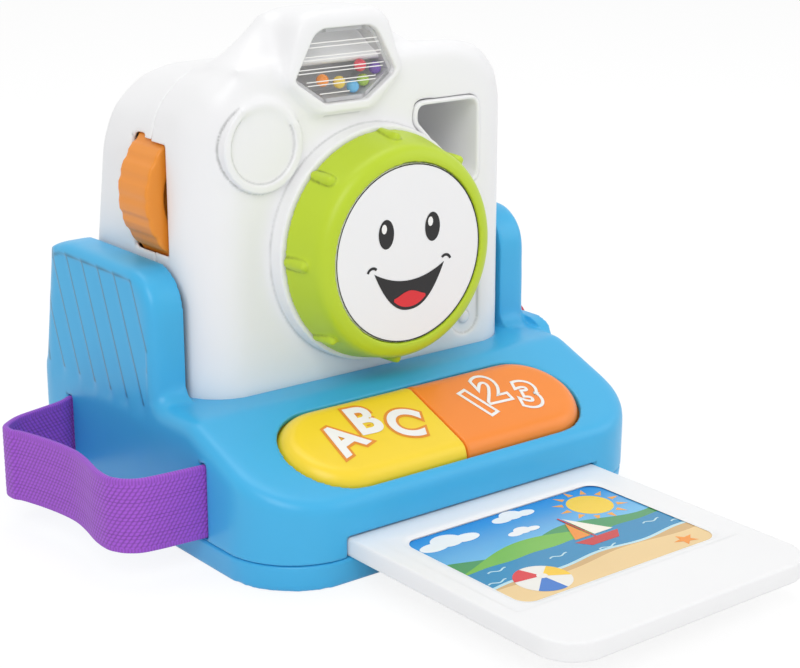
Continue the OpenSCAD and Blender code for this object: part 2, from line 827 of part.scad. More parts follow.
module circuit_board() {
    color(board_green) on_platform() translate([0, 0, -board_drop - board_t]) difference() {
        box([-board_half_l, -board_half_d, 0], [board_half_l, board_half_d, board_t]);
        for (side = [-1, 1], end = [-1, 1])
            translate([side * board_post_x, end * board_post_y, -overrun])
                cylinder(r = screw_r + run_gap, h = board_t + 2 * overrun);
    }
}

module board_screws() {
    color(steel) board_post_places()
        translate([0, 0, -board_drop - board_t - screw_head_h]) screw(board_t + board_bite - overrun);
}

// Press switch on the board under each button
module button_switches() {
    color(dark) for (side = [-1, 1])
        on_platform() translate([side * pill_half_l / 2, 0, -board_drop]) {
            translate([-switch_w / 2, -switch_w / 2, 0]) cube([switch_w, switch_w, switch_h]);
            translate([0, 0, switch_h]) cylinder(r = switch_cap_r, h = switch_cap_h);
        }
}

// Edge of a button's cap: [distance from its side, height] from the rim up to the flat top
function cap_edge(r) = [for (a = [0 : 15 : 90]) [r * (1 - cos(a)), pill_proud - r * (1 - sin(a))]];

// Half profile of the cap, flange included, from the middle plane out to the rim
function cap_profile() = let (low = -wall - run_gap) concat(
    [[0, low - pill_flange_t], [pill_r + pill_flange_w, low - pill_flange_t], [pill_r + pill_flange_w, low],
        [pill_r, low]],
    [for (p = cap_edge(pill_edge_r)) [pill_r - p[0], p[1]]],
    [[0, pill_proud]]
);

// Hollow below the cap's top
function cap_hollow() = let (low = -wall - run_gap - pill_flange_t) [
    [0, low - overrun], [pill_r - pill_wall, low - overrun],
    [pill_r - pill_wall, pill_proud - pill_edge_r], [pill_r - pill_edge_r, pill_proud - pill_wall],
    [0, pill_proud - pill_wall]
];

module cap_solid(profile, length) {
    translate([length - pill_r, 0, 0]) rotate([0, 0, -90]) rotate_extrude(angle = 180) polygon(profile);
    for (flip = [0, 1]) mirror([0, flip, 0])
        rotate([90, 0, 90]) linear_extrude(length - pill_r) polygon(profile);
}

// One button: half of the long cap, with a wall at the middle and a plunger over its switch
module button_cap() {
    low = -wall - run_gap - pill_flange_t;
    difference() {
        cap_solid(cap_profile(), pill_half_l);
        difference() {
            cap_solid(cap_hollow(), pill_half_l);
            box([-overrun, -2 * pill_r, low - 2 * overrun],
                [button_split + pill_wall, 2 * pill_r, 2 * pill_proud]);
            translate([pill_half_l / 2, 0, low]) cylinder(r = 2 * switch_cap_r, h = 2 * pill_r);
        }
        box([-2 * overrun, -2 * pill_r, low - 2 * overrun], [button_split, 2 * pill_r, 2 * pill_proud]);
    }
}

module yellow_button() {
    color(yellow) on_platform() mirror([1, 0, 0]) button_cap();
}

module orange_button() {
    color(orange) on_platform() button_cap();
}

// Smooth curve through the route: point at share t of the stretch from b to c
function route_curve(a, b, c, d, t) =
    (2 * b + (c - a) * t + (2 * a - 5 * b + 4 * c - d) * t * t + (3 * b - a - 3 * c + d) * t * t * t) / 2;
function route_point(i) = let (s = strap_route_shares[max(0, min(len(strap_route_shares) - 1, i))])
    [-base_half - s[0] * strap_reach, strap_front_y + s[1] * strap_span];
strap_line = concat(
    [[-base_half + strap_tail, strap_front_y]],
    [for (i = [0 : len(strap_route_shares) - 2], k = [0 : strap_steps - 1])
        route_curve(route_point(i - 1), route_point(i), route_point(i + 1), route_point(i + 2),
            k / strap_steps)],
    [[-base_half, strap_front_y + strap_span], [-base_half + strap_tail, strap_front_y + strap_span]]
);
function along(i) =
    let (step = strap_line[min(len(strap_line) - 1, i + 1)] - strap_line[max(0, i - 1)]) step / norm(step);
function across(i, side) = strap_line[i] + side * strap_t / 2 * [-along(i)[1], along(i)[0]];

module strap() {
    last = len(strap_line) - 1;
    color(purple) translate([0, 0, strap_z]) linear_extrude(strap_w)
        polygon(concat([for (i = [0 : last]) across(i, 1)], [for (i = [last : -1 : 0]) across(i, -1)]));
}

// Plastic clip on each end of the strap, too wide for the slot in the flank
module strap_clips() {
    color(grey) for (y = [strap_front_y, strap_front_y + strap_span]) difference() {
        box([-inner_half + seat_gap, y - clip_half_w, split_z + seat_gap],
            [-inner_half + seat_gap + clip_l, y + clip_half_w, strap_z + strap_w + wall]);
        box([-base_half, y - strap_t / 2 - seat_gap, strap_z - seat_gap],
            [-base_half + strap_tail + seat_gap, y + strap_t / 2 + seat_gap, strap_z + strap_w + seat_gap]);
    }
}

module power_switch_knob() {
    face_x = base_half + bezel_h + run_gap;
    color(red) {
        translate([face_x, knob_y, bezel_z]) rotate([0, 90, 0]) stadium(knob_half_h, knob_r, knob_h);
        box([inner_half - run_gap - stem_plate_t, knob_y - stem_half, bezel_z - stem_half],
            [face_x, knob_y + stem_half, bezel_z + stem_half]);
        box([inner_half - run_gap - stem_plate_t, knob_y - stem_plate_half, bezel_z - stem_plate_half],
            [inner_half - run_gap, knob_y + stem_plate_half, bezel_z + stem_plate_half]);
    }
}

// Slide switch behind the knob, held to the flank by an ear at each end of the knob's travel
module power_switch_body() {
    front = knob_y - knob_travel - stem_plate_half - run_gap;
    back = knob_y + stem_plate_half + run_gap;
    face_x = inner_half - 2 * run_gap - stem_plate_t;
    color(dark) {
        box([face_x - switch_body_t, front - switch_ear_t, bezel_z - stem_plate_half],
            [face_x, back + switch_ear_t, bezel_z + stem_plate_half]);
        for (y = [front - switch_ear_t, back])
            box([face_x, y, bezel_z - stem_plate_half],
                [inner_half, y + switch_ear_t, bezel_z + stem_plate_half]);
    }
}

module deck_screws() {
    color(steel) deck_screw_places() translate([0, 0, -screw_head_h - pin_gap])
        screw(wall - recess_h + deck_boss_h);
}

// Rounded solid of the camera body
module body_form(inset) {
    low_corner_z = body_top_z - body_corner_r;
    back_corner_z = low_corner_z - body_top_fall;
    hull() {
        translate([0, 0, body_z + inset]) linear_extrude(skin) body_outline(inset, $fn = blend_fn * 2);
        for (side = [-1, 1]) {
            for (a = [0 : 22.5 : 90]) let (r = corner_edge_r(a), reach = body_corner_r - r)
                translate([side * (body_half - body_corner_r + reach * cos(a)), body_front_y + r,
                    low_corner_z + reach * sin(a)]) sphere(r - inset, $fn = blend_fn);
            for (a = [0 : 30 : 90]) let (
                reach = body_corner_r - body_back_r,
                z = back_corner_z + reach * sin(a))
                translate([side * (body_half - body_corner_r + reach * cos(a)),
                    back_y(z) - body_back_r / cos(body_lean), z]) sphere(body_back_r - inset, $fn = blend_fn);
        }
    }
}

// Outline of the flash window in the X-Z plane, drawn in X and Y
module window_outline(grow) {
    mid = window_z + window_h * window_mid_share;
    hull() for (side = [-1, 1]) {
        translate([side * window_half_w * window_top_share, window_z + window_h - window_top_r])
            circle(window_top_r + grow, $fn = blend_fn);
        translate([side * (window_half_w - window_corner_r), mid])
            circle(window_corner_r + grow, $fn = blend_fn);
        translate([side * (window_half_w * window_low_share - window_corner_r), window_z + window_corner_r])
            circle(window_corner_r + grow, $fn = blend_fn);
    }
}

// Prism of the window's outline between two depths
module window_prism(grow, from_y, to_y) {
    translate([flash_x, to_y, 0]) rotate([90, 0, 0]) linear_extrude(to_y - from_y) window_outline(grow);
}

module hump_slab(shrink, from_y, to_y) {
    mid = window_z + window_h * window_mid_share;
    translate([flash_x, to_y, 0]) rotate([90, 0, 0]) linear_extrude(to_y - from_y)
        for (side = [-1, 1]) {
            translate([side * (hump_top_half_w - hump_top_r), hump_top_z - hump_top_r])
                circle(hump_top_r - shrink, $fn = blend_fn);
            translate([side * (hump_side_half_w - hump_edge), mid])
                circle(hump_edge - shrink, $fn = blend_fn);
            translate([side * (hump_low_half_w - hump_edge), hump_low_z + hump_edge])
                circle(hump_edge - shrink, $fn = blend_fn);
        }
}

// Point of the concave flare beside the hump, at a share of its height
function flare_point(side, share) = [
    side * (hump_top_half_w + (hump_flare_half_w - hump_top_half_w) * pow(1 - share, hump_flare_bend)),
    -hump_flare_low + (hump_flare_h + hump_flare_low) * share
];

// Flash hump on the body's top: bevelled frame in front, rounded back
module hump() {
    hump_back_y = hump_front_y + hump_d;
    hull() {
        hump_slab(hump_edge / 2, hump_front_y, hump_front_y + skin);
        hump_slab(0, hump_front_y + hump_edge, hump_back_y - hump_back_edge);
        hump_slab(hump_edge * hump_back_share, hump_back_y - skin, hump_back_y);
    }
    flare_front_y = body_front_y + body_top_r / 2;
    flare_back_y = hump_back_y - hump_back_edge;
    translate([flash_x, 0, body_top_z]) intersection() {
        translate([0, flare_back_y, 0]) rotate([90, 0, 0]) linear_extrude(flare_back_y - flare_front_y)
            polygon(concat(
                [for (share = hump_flare_shares) flare_point(1, share)],
                [for (i = [len(hump_flare_shares) - 1 : -1 : 0]) flare_point(-1, hump_flare_shares[i])]));
        rotate([90, 0, 90]) linear_extrude(2 * hump_flare_half_w, center = true) polygon([
            [flare_front_y, -hump_flare_low - overrun], [flare_front_y + hump_flare_h, hump_flare_h],
            [flare_front_y + hump_flare_h, 2 * hump_flare_h], [flare_back_y, 2 * hump_flare_h],
            [flare_back_y, -hump_flare_low - overrun]
        ]);
    }
}

module finder_outline(grow) {
    hull() for (corner = [
        [finder_x + finder_r, finder_top_z - finder_r],
        [finder_x + finder_w - finder_r, finder_top_z - finder_r],
        [finder_x + finder_w - finder_r, finder_top_z - finder_h + finder_r],
        [finder_x + finder_r, finder_top_z - finder_inner_h + finder_r]])
        translate(corner) circle(finder_r + grow, $fn = blend_fn);
}

module finder_prism(grow, from_y, to_y) {
    translate([0, to_y, 0]) rotate([90, 0, 0]) linear_extrude(to_y - from_y) finder_outline(grow);
}

module body_screw_places() {
    for (side = [-1, 1], place = [
        [body_screw_low_x, body_screw_low_z], [body_screw_high_x, body_screw_high_z]])
        translate([side * place[0], 0, place[1]]) children();
}

module roller_slot() {
    box([-body_half - overrun, roller_front_y - roller_slot_gap, roller_z - roller_slot_half_h],
        [roller_x, roller_back_y + roller_slot_gap, roller_z + roller_slot_half_h]);
    y_rod(roller_x, roller_z, roller_r + run_gap, roller_front_y - roller_slot_gap,
        roller_back_y + roller_slot_gap);
}

// Round bosses on the floor of the shells for the screws through the deck
module deck_bosses(y) {
    for (side = [-1, 1]) translate([side * deck_screw_x, y, body_z + shell_t / 2]) children();
}

module front_shell() {
    inner_y = body_front_y + shell_t;
    color(white) difference() {
        union() {
            difference() {
                union() {
                    intersection() {
                        body_form(0);
                        box([-base_w, -base_d, 0], [base_w, seam_y, 2 * body_top_z]);
                    }
                    hump();
                }
                body_form(shell_t);
                window_prism(seat_gap, hump_front_y - overrun, chamber_back_y + lamp_t + lamp_led_h);
            }
            y_rod(0, lens_z, flange_r, flange_y, inner_y);
            y_rod(badge_x, badge_z, badge_r, body_front_y - badge_h, inner_y);
            y_rod(0, lens_z, hub_r + shell_t, flange_y, inner_y);
            intersection() {
                body_form(shell_t / 2);
                union() {
                    y_rod(roller_x, roller_z, roller_boss_r, body_front_y, roller_front_y - run_gap);
                    body_screw_places() y_rod(0, 0, screw_boss_r, body_front_y, seam_y);
                    deck_bosses(deck_screw_front_y) cylinder(r = screw_boss_r, h = deck_boss_h);
                }
            }
        }
        y_rod(0, lens_z, hub_r + pin_gap, flange_y - overrun, inner_y + overrun);
        difference() {
            y_rod(0, lens_z, flange_r - shell_t, body_front_y, inner_y + overrun);
            y_rod(0, lens_z, hub_r + shell_t, body_front_y - overrun, inner_y + 2 * overrun);
            y_rod(0, lens_z, ratchet_r + 2 * click_arm_t, body_front_y - overrun, inner_y);
        }
        y_rod(badge_x, badge_z, badge_r - badge_rim, body_front_y - badge_h - overrun,
            body_front_y - badge_h + badge_sink);
        difference() {
            translate([oblong_x, body_front_y + oblong_sink, oblong_low_z + oblong_l / 2])
                rotate([90, 90, 0]) stadium(oblong_l / 2, oblong_r, oblong_sink + overrun);
            y_rod(oblong_x, oblong_low_z, oblong_pin_r, body_front_y - overrun, inner_y);
            y_rod(0, lens_z, flange_r, body_front_y - 2 * overrun, inner_y);
        }
        finder_prism(finder_wall + seat_gap, body_front_y - overrun, seam_y + overrun);
        roller_slot();
        y_rod(roller_x, roller_z, axle_r + pin_gap, roller_front_y - run_gap - axle_bite, roller_front_y);
        body_screw_places()
            y_rod(0, 0, screw_r + pin_gap, seam_y - body_screw_bite - overrun, seam_y + overrun);
        deck_bosses(deck_screw_front_y) translate([0, 0, -shell_t])
            cylinder(r = screw_r + pin_gap, h = deck_boss_h + shell_t - overrun);
    }
}

module rear_shell() {
    roller_boss_end = back_y(roller_z + roller_boss_r) - shell_t;
    color(white) difference() {
        union() {
            difference() {
                intersection() {
                    body_form(0);
                    box([-base_w, seam_y, 0], [base_w, base_d, 2 * body_top_z]);
                }
                body_form(shell_t);
            }
            intersection() {
                body_form(shell_t / 2);
                union() {
                    body_screw_places() y_rod(0, 0, screw_boss_r, seam_y, base_back_y);
                    y_rod(roller_x, roller_z, roller_boss_r, roller_back_y + run_gap, roller_boss_end);
                    deck_bosses(deck_screw_back_y) cylinder(r = screw_boss_r, h = deck_boss_h);
                    on_back(0, speaker_z) translate([0, 0, -shell_t - 2 * speaker_wall])
                        difference() {
                            cylinder(r = speaker_r + seat_gap + speaker_wall,
                                h = 2 * speaker_wall + shell_t / 2);
                            translate([0, 0, -overrun]) cylinder(r = speaker_r + seat_gap,
                                h = 2 * speaker_wall + overrun);
                        }
                }
            }
        }
        on_back(0, speaker_z) translate([0, 0, -2 * shell_t]) {
            cylinder(r = grille_hole_r, h = 4 * shell_t);
            for (ring = [1 : 3], i = [1 : 6 * ring])
                rotate([0, 0, i * 60 / ring]) translate([ring * grille_step, 0, 0])
                    cylinder(r = grille_hole_r, h = 4 * shell_t);
        }
        body_screw_places() {
            y_rod(0, 0, screw_r + run_gap, seam_y - overrun, base_back_y);
            y_rod(0, 0, screw_head_r + run_gap, seam_y + body_screw_seat, base_back_y);
        }
        finder_prism(finder_wall + seat_gap, seam_y - overrun, base_back_y);
        roller_slot();
        y_rod(roller_x, roller_z, axle_r + pin_gap, roller_back_y, roller_back_y + run_gap + axle_bite);
        deck_bosses(deck_screw_back_y) translate([0, 0, -shell_t])
            cylinder(r = screw_r + pin_gap, h = deck_boss_h + shell_t - overrun);
        translate([0, seam_y + wire_hole_seam_gap, body_z - overrun])
            cylinder(r = wire_hole_r, h = shell_t + 2 * overrun);
    }
}

module body_screws() {
    color(steel) body_screw_places() translate([0, seam_y + body_screw_seat + screw_head_h, 0])
        rotate([90, 0, 0]) screw(body_screw_seat + body_screw_bite);
}

// Loudspeaker behind the grille: flange, cone and magnet
module speaker() {
    color(dark) on_back(0, speaker_z) translate([0, 0, -shell_t]) rotate([180, 0, 0]) {
        cylinder(r = speaker_r, h = speaker_t);
        translate([0, 0, speaker_t])
            cylinder(r1 = speaker_r - speaker_wall, r2 = speaker_magnet_r, h = speaker_cone_h);
        translate([0, 0, speaker_t + speaker_cone_h]) cylinder(r = speaker_magnet_r, h = speaker_magnet_h);
    }
}

// Sight tube through the body, cut to the lean of the back
module viewfinder_tunnel() {
    color(white) intersection() {
        difference() {
            finder_prism(finder_wall, body_front_y - finder_proud, base_back_y);
            finder_prism(0, body_front_y - finder_proud - overrun, base_back_y + overrun);
        }
        on_back(0, finder_top_z) translate([-base_half, -base_w, -2 * base_d])
            cube([base_w, 2 * base_w, 2 * base_d + finder_proud]);
    }
}

module flash_chamber() {
    color(grey) difference() {
        window_prism(0, window_back_y, chamber_back_y);
        window_prism(-chamber_t, window_back_y - overrun, chamber_back_y - chamber_t);
    }
}

module flash_window() {
    color([0.85, 0.9, 0.95, 0.4]) window_prism(0, window_back_y - window_t, window_back_y);
}

// Small lamp board on the back of the flash chamber
module flash_lamp() {
    color(board_green) {
        translate([flash_x, chamber_back_y, window_z + window_h / 2])
            box([-lamp_half, 0, -lamp_half], [lamp_half, lamp_t, lamp_half]);
        y_rod(flash_x, window_z + window_h / 2, lamp_led_r, chamber_back_y + lamp_t,
            chamber_back_y + lamp_t + lamp_led_h / 2);
    }
}

// Bead at shares of the window's half width and height
module bead(x_share, z_share) {
    translate([flash_x + x_share * window_half_w, window_back_y + bead_front_gap + bead_d / 2,
        window_z + z_share * window_h]) sphere(bead_d / 2);
}

module bead_orange() {
    color(orange) bead(-0.33, 0.285);
}

module bead_yellow() {
    color(yellow) bead(0.01, 0.235);
}

module bead_red() {
    color(red) bead(0.44, 0.435);
}

module bead_purple() {
    color(purple) bead(0.75, 0.38);
}

module bead_blue() {
    color(blue) bead(0.29, 0.155);
}

module bead_green() {
    color(green) bead(0.5, 0.23);
}

// Frame of the lens: z = 0 is the ring's back and z points to the front
module on_lens() {
    translate([0, ring_back_y, lens_z]) rotate([90, 0, 0]) children();
}

module lens_ring() {
    hub_l = ratchet_front_y - ring_back_y;
    web_back = ring_web_front - ring_web_t;
    color(green) on_lens() {
        rotate_extrude() polygon(concat(
            [[hub_bore_r, -hub_l], [hub_r, -hub_l], [hub_r, web_back],
                [ring_front_r - 2 * ring_wall, web_back], [ring_back_r - ring_wall, 0], [ring_back_r, 0]],
            [for (a = [0 : 15 : 90])
                [ring_front_r - ring_nose_r * (1 - cos(a)), ring_h - ring_nose_r * (1 - sin(a))]],
            [[disc_r + seat_gap, ring_h], [disc_r + seat_gap, ring_web_front], [hub_bore_r, ring_web_front]]
        ));
        for (i = [1 : rib_count]) rotate([0, 0, i * 360 / rib_count])
            translate([ring_back_r - rib_r / 2, 0, 0]) {
                cylinder(r = rib_r, h = rib_l - rib_r);
                translate([0, 0, rib_l - rib_r]) sphere(rib_r);
            }
    }
}

module lens_face_disc() {
    color(white) on_lens() translate([0, 0, ring_web_front])
        cylinder(r = disc_r, h = ring_lip_h - disc_sink);
}

// Notched wheel that holds the lens in the shell and clicks past the spring
module lens_ratchet() {
    color(grey) translate([0, ratchet_back_y, lens_z]) rotate([90, 0, 0]) difference() {
        cylinder(r = ratchet_r, h = ratchet_t);
        for (i = [1 : ratchet_teeth]) rotate([0, 0, i * 360 / ratchet_teeth])
            translate([ratchet_r, 0, -overrun]) cylinder(r = ratchet_notch_r, h = ratchet_t + 2 * overrun);
        translate([0, 0, -overrun]) cylinder(r = screw_r + pin_gap, h = ratchet_t + 2 * overrun);
    }
}

module lens_screw() {
    hub_end = ratchet_front_y;
    color(steel) {
        y_rod(0, lens_z, screw_head_r, ratchet_back_y, ratchet_back_y + screw_head_h);
        y_rod(0, lens_z, screw_r, hub_end, ratchet_back_y);
        y_rod(0, lens_z, hub_bore_r - pin_gap, ring_back_y - ring_web_front / 2, hub_end);
    }
}

// Leaf spring beside the notched wheel, with its foot on the shell and a bump at its middle
module lens_click_spring() {
    bump_z = lens_z - ratchet_r - run_gap - click_bump_r;
    color(steel) {
        box([-click_arm_l / 2, ratchet_front_y, bump_z - click_arm_t],
            [click_arm_l, ratchet_back_y, bump_z]);
        y_rod(0, bump_z, click_bump_r, ratchet_front_y, ratchet_back_y);
        box([click_arm_l, body_front_y, bump_z - click_foot_w],
            [click_arm_l + click_foot_w, ratchet_back_y, bump_z]);
    }
}

module roller_wheel() {
    color(orange) translate([roller_x, roller_back_y, roller_z]) rotate([90, 0, 0]) difference() {
        cylinder(r = roller_r, h = roller_w);
        for (i = [1 : roller_grooves]) rotate([0, 0, i * 360 / roller_grooves])
            translate([roller_r + roller_groove_r - roller_groove_sink, 0, -overrun])
                cylinder(r = roller_groove_r, h = roller_w + 2 * overrun);
        for (z = [-overrun, roller_w - roller_web_sink]) translate([0, 0, z]) difference() {
            cylinder(r = roller_r * roller_web_share, h = roller_web_sink + overrun);
            translate([0, 0, -overrun]) cylinder(r = roller_boss_r, h = roller_web_sink + 3 * overrun);
        }
        translate([0, 0, -overrun]) cylinder(r = axle_r + pin_gap, h = roller_w + 2 * overrun);
    }
}

module roller_axle() {
    color(steel) y_rod(roller_x, roller_z, axle_r, roller_front_y - axle_bite, roller_back_y + axle_bite);
}

base_bottom_cover();
base_upper_housing();
base_screws();
battery_door();
battery_door_screw();
battery_cells();
battery_contacts();
card_rails();
print_card();
card_picture();
circuit_board();
board_screws();
button_switches();
yellow_button();
orange_button();
strap();
strap_clips();
power_switch_knob();
power_switch_body();
deck_screws();
front_shell();
rear_shell();
body_screws();
speaker();
viewfinder_tunnel();
flash_chamber();
flash_window();
flash_lamp();
bead_orange();
bead_yellow();
bead_red();
bead_purple();
bead_blue();
bead_green();
lens_ring();
lens_face_disc();
lens_ratchet();
lens_screw();
lens_click_spring();
roller_wheel();
roller_axle();
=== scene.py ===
import math

import bmesh
import bpy
import numpy as np
from mathutils import Matrix, Vector, kdtree


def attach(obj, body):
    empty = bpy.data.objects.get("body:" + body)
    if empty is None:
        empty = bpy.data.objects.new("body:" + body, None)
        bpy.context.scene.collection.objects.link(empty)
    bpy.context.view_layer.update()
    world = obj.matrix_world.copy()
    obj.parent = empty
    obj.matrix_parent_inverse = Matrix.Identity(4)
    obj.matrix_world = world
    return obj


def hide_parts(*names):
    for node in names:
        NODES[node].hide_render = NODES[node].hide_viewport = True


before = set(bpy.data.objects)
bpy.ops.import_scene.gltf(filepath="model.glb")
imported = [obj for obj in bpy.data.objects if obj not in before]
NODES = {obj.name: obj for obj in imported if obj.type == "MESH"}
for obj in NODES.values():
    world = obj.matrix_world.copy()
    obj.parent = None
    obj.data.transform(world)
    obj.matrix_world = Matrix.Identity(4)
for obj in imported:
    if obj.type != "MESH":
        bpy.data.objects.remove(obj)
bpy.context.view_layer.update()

# Toy camera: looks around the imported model. Metres, +Z up, front towards -Y.
MM = 0.001

# Camera of the photograph
CAMERA_AT = Vector((-0.34796, -0.47471, 0.22806))
CAMERA_AIM = Vector((0.59279, 0.75222, -0.28769))
CAMERA_LENS = 82.59
SENSOR_WIDTH = 36.0

# Platform: its slope, and the middle of the buttons on it
SLOPE = math.radians(21.7)
PILL_MIDDLE = Vector((0.0, -51.3, 34.74)) * MM
PILL_PROUD = 2.6 * MM

# Painted shade in creases: how much of its colour a plastic keeps there, how wide the shade is, how
# full in the middle
CREASE_SHADE_SHARE = 0.45
CREASE_SHADE_WIDTH = 0.6 * MM
CREASE_SHADE_FULL = 1.3

# Remeshed pieces: from which angle an edge is crisp, how far from it faces are smoothed in full,
# the pull of each smoothing pass, corners that count as one, and a distance beyond the part
CRISP_ANGLE = math.radians(24)
BLEND_REACH = 3.0 * MM
RELAX_PULL = 0.5
SAME_CORNER = 0.001 * MM
FAR = 1.0

# Plastic: scales of its pigment and gloss, and depth of its grain
PIGMENT_SCALE, GLOSS_SCALE = 45.0, 160.0
GLOSS_DOWN, GLOSS_UP = 0.04, 0.05
GRAIN_DEPTH = 0.05 * MM
PLASTIC_SPECULAR = 0.42

# Metal and clear plastic
BRUSH_SCALE, BRUSH_SHARE, BRUSH_ROUGH = 900.0, 0.8, (0.25, 0.45)
WINDOW_TINT, WINDOW_ALPHA = (0.9, 0.92, 0.94, 1.0), 0.05
WINDOW_SCALE, WINDOW_ROUGH = 120.0, (0.02, 0.08)

# Webbing: fibres, painted shade in the furrows and painted light on the crowns of the yarns, fuzz
# and sheen
FIBRE_SCALE, FIBRE_SHARE, FIBRE_ROUGH = 900.0, 0.35, (0.62, 0.85)
FURROW_SHADE_SHARE, CROWN_LIGHT_SHARE = 0.42, 1.12
FUZZ_SCALE, FUZZ_STRENGTH, FUZZ_DEPTH = 3200.0, 0.3, 0.1 * MM
SHEEN = 0.15

# Printed sky: where its colour starts and stops to change, and its unevenness and gloss
SKY_LOW_Y, SKY_HIGH_Y = -0.112, -0.082
SKY_SCALE, SKY_UNEVEN = 140.0, 0.08
SKY_GLOSS_SCALE, SKY_ROUGH = 90.0, (0.16, 0.26)


def srgb(red, green, blue):
    """Linear colour of an 8-bit sRGB one."""
    values = []
    for channel in (red, green, blue):
        share = channel / 255.0
        values.append(share / 12.92 if share <= 0.04045 else ((share + 0.055) / 1.055) ** 2.4)
    return tuple(values) + (1.0,)


# Materials

def new_material(name):
    """New material, its node tree and its main shader."""
    material = bpy.data.materials.new(name)
    material.use_nodes = True
    shader = material.node_tree.nodes["Principled BSDF"]
    return material, material.node_tree, shader


def add_noise(tree, scale, detail, coords):
    """Output of a noise texture, 0 to 1."""
    noise = tree.nodes.new("ShaderNodeTexNoise")
    noise.inputs["Scale"].default_value = scale
    noise.inputs["Detail"].default_value = detail
    tree.links.new(coords, noise.inputs["Vector"])
    return noise.outputs["Fac"]


def add_range(tree, value, low, high):
    """Maps a 0 to 1 value onto a range."""
    node = tree.nodes.new("ShaderNodeMapRange")
    node.inputs["To Min"].default_value = low
    node.inputs["To Max"].default_value = high
    tree.links.new(value, node.inputs["Value"])
    return node.outputs["Result"]


def colour_input(mix, name):
    """One of the two colour sockets of a mix node."""
    return [socket for socket in mix.inputs if socket.name == name and socket.type == "RGBA"][0]


def add_mix(tree, factor, first, second):
    """Output of a mix of two colours."""
    mix = tree.nodes.new("ShaderNodeMix")
    mix.data_type = "RGBA"
    for name, colour in (("A", first), ("B", second)):
        colour_input(mix, name).default_value = colour
    tree.links.new(factor, mix.inputs["Factor"])
    return [socket for socket in mix.outputs if socket.type == "RGBA"][0]


def add_bump(tree, shader, height, strength, distance):
    """Fine relief on a shader's surface."""
    bump = tree.nodes.new("ShaderNodeBump")
    bump.inputs["Strength"].default_value = strength
    bump.inputs["Distance"].default_value = distance
    tree.links.new(height, bump.inputs["Height"])
    tree.links.new(bump.outputs["Normal"], shader.inputs["Normal"])


def scaled(colour, share):
    """A colour made darker or lighter."""
    return tuple(channel * share for channel in colour[:3]) + (1.0,)


def plastic(name, colour, rough=0.34, mottle=0.05, grain=0.05, grain_size=0.45 * MM):
    """Moulded plastic: slow drift of the pigment, painted shade in creases and gaps, uneven gloss
    and a fine grain.
    """
    material, tree, shader = new_material(name)
    coords = tree.nodes.new("ShaderNodeTexCoord").outputs["Object"]
    drift = add_noise(tree, PIGMENT_SCALE, 3.0, coords)
    tint = add_mix(tree, drift, scaled(colour, 1.0 - mottle), scaled(colour, 1.0 + mottle * 0.5))
    # Painted shade: a vertex attribute darkens the colour in creases and narrow gaps
    crease_shade = tree.nodes.new("ShaderNodeAttribute")
    crease_shade.attribute_name = "crease_shade"
    shade = add_mix(tree, crease_shade.outputs["Fac"], colour, scaled(colour, CREASE_SHADE_SHARE))
    tree.links.new(tint, colour_input(shade.node, "A"))
    tree.links.new(shade, shader.inputs["Base Color"])
    polish = add_noise(tree, GLOSS_SCALE, 2.0, coords)
    gloss = add_range(tree, polish, rough - GLOSS_DOWN, rough + GLOSS_UP)
    tree.links.new(gloss, shader.inputs["Roughness"])
    add_bump(tree, shader, add_noise(tree, 1.0 / grain_size, 2.0, coords), grain, GRAIN_DEPTH)
    shader.inputs["Specular IOR Level"].default_value = PLASTIC_SPECULAR
    return material


def metal(name, colour):
    """Plain metal with uneven brushing."""
    material, tree, shader = new_material(name)
    coords = tree.nodes.new("ShaderNodeTexCoord").outputs["Object"]
    brush = add_noise(tree, BRUSH_SCALE, 2.0, coords)
    tint = add_mix(tree, brush, scaled(colour, BRUSH_SHARE), colour)
    tree.links.new(tint, shader.inputs["Base Color"])
    tree.links.new(add_range(tree, brush, *BRUSH_ROUGH), shader.inputs["Roughness"])
    shader.inputs["Metallic"].default_value = 1.0
    return material


def clear_plastic(name):
    """Thin clear window: see-through, with a soft reflection."""
    material, tree, shader = new_material(name)
    coords = tree.nodes.new("ShaderNodeTexCoord").outputs["Object"]
    shader.inputs["Base Color"].default_value = WINDOW_TINT
    shader.inputs["Alpha"].default_value = WINDOW_ALPHA
    polish = add_noise(tree, WINDOW_SCALE, 2.0, coords)
    tree.links.new(add_range(tree, polish, *WINDOW_ROUGH), shader.inputs["Roughness"])
    return material


def webbing(name, colour):
    """Woven tape: painted shade in the yarns' furrows and painted light on their crowns, with a
    soft sheen.
    """
    material, tree, shader = new_material(name)
    coords = tree.nodes.new("ShaderNodeTexCoord").outputs["Object"]
    depth = tree.nodes.new("ShaderNodeAttribute")
    depth.attribute_name = "weave"
    fibre = add_noise(tree, FIBRE_SCALE, 4.0, coords)
    blend = tree.nodes.new("ShaderNodeMath")
    blend.operation = "MULTIPLY_ADD"
    blend.inputs[1].default_value = FIBRE_SHARE
    tree.links.new(fibre, blend.inputs[0])
    tree.links.new(depth.outputs["Fac"], blend.inputs[2])
    # Painted shade in the furrows and painted light on the crowns, following the weave's height
    furrow_shade, crown_light = scaled(colour, FURROW_SHADE_SHARE), scaled(colour, CROWN_LIGHT_SHARE)
    tint = add_mix(tree, blend.outputs[0], furrow_shade, crown_light)
    tree.links.new(tint, shader.inputs["Base Color"])
    tree.links.new(add_range(tree, fibre, *FIBRE_ROUGH), shader.inputs["Roughness"])
    fuzz = add_noise(tree, FUZZ_SCALE, 3.0, coords)
    add_bump(tree, shader, fuzz, FUZZ_STRENGTH, FUZZ_DEPTH)
    shader.inputs["Sheen Weight"].default_value = SHEEN
    return material


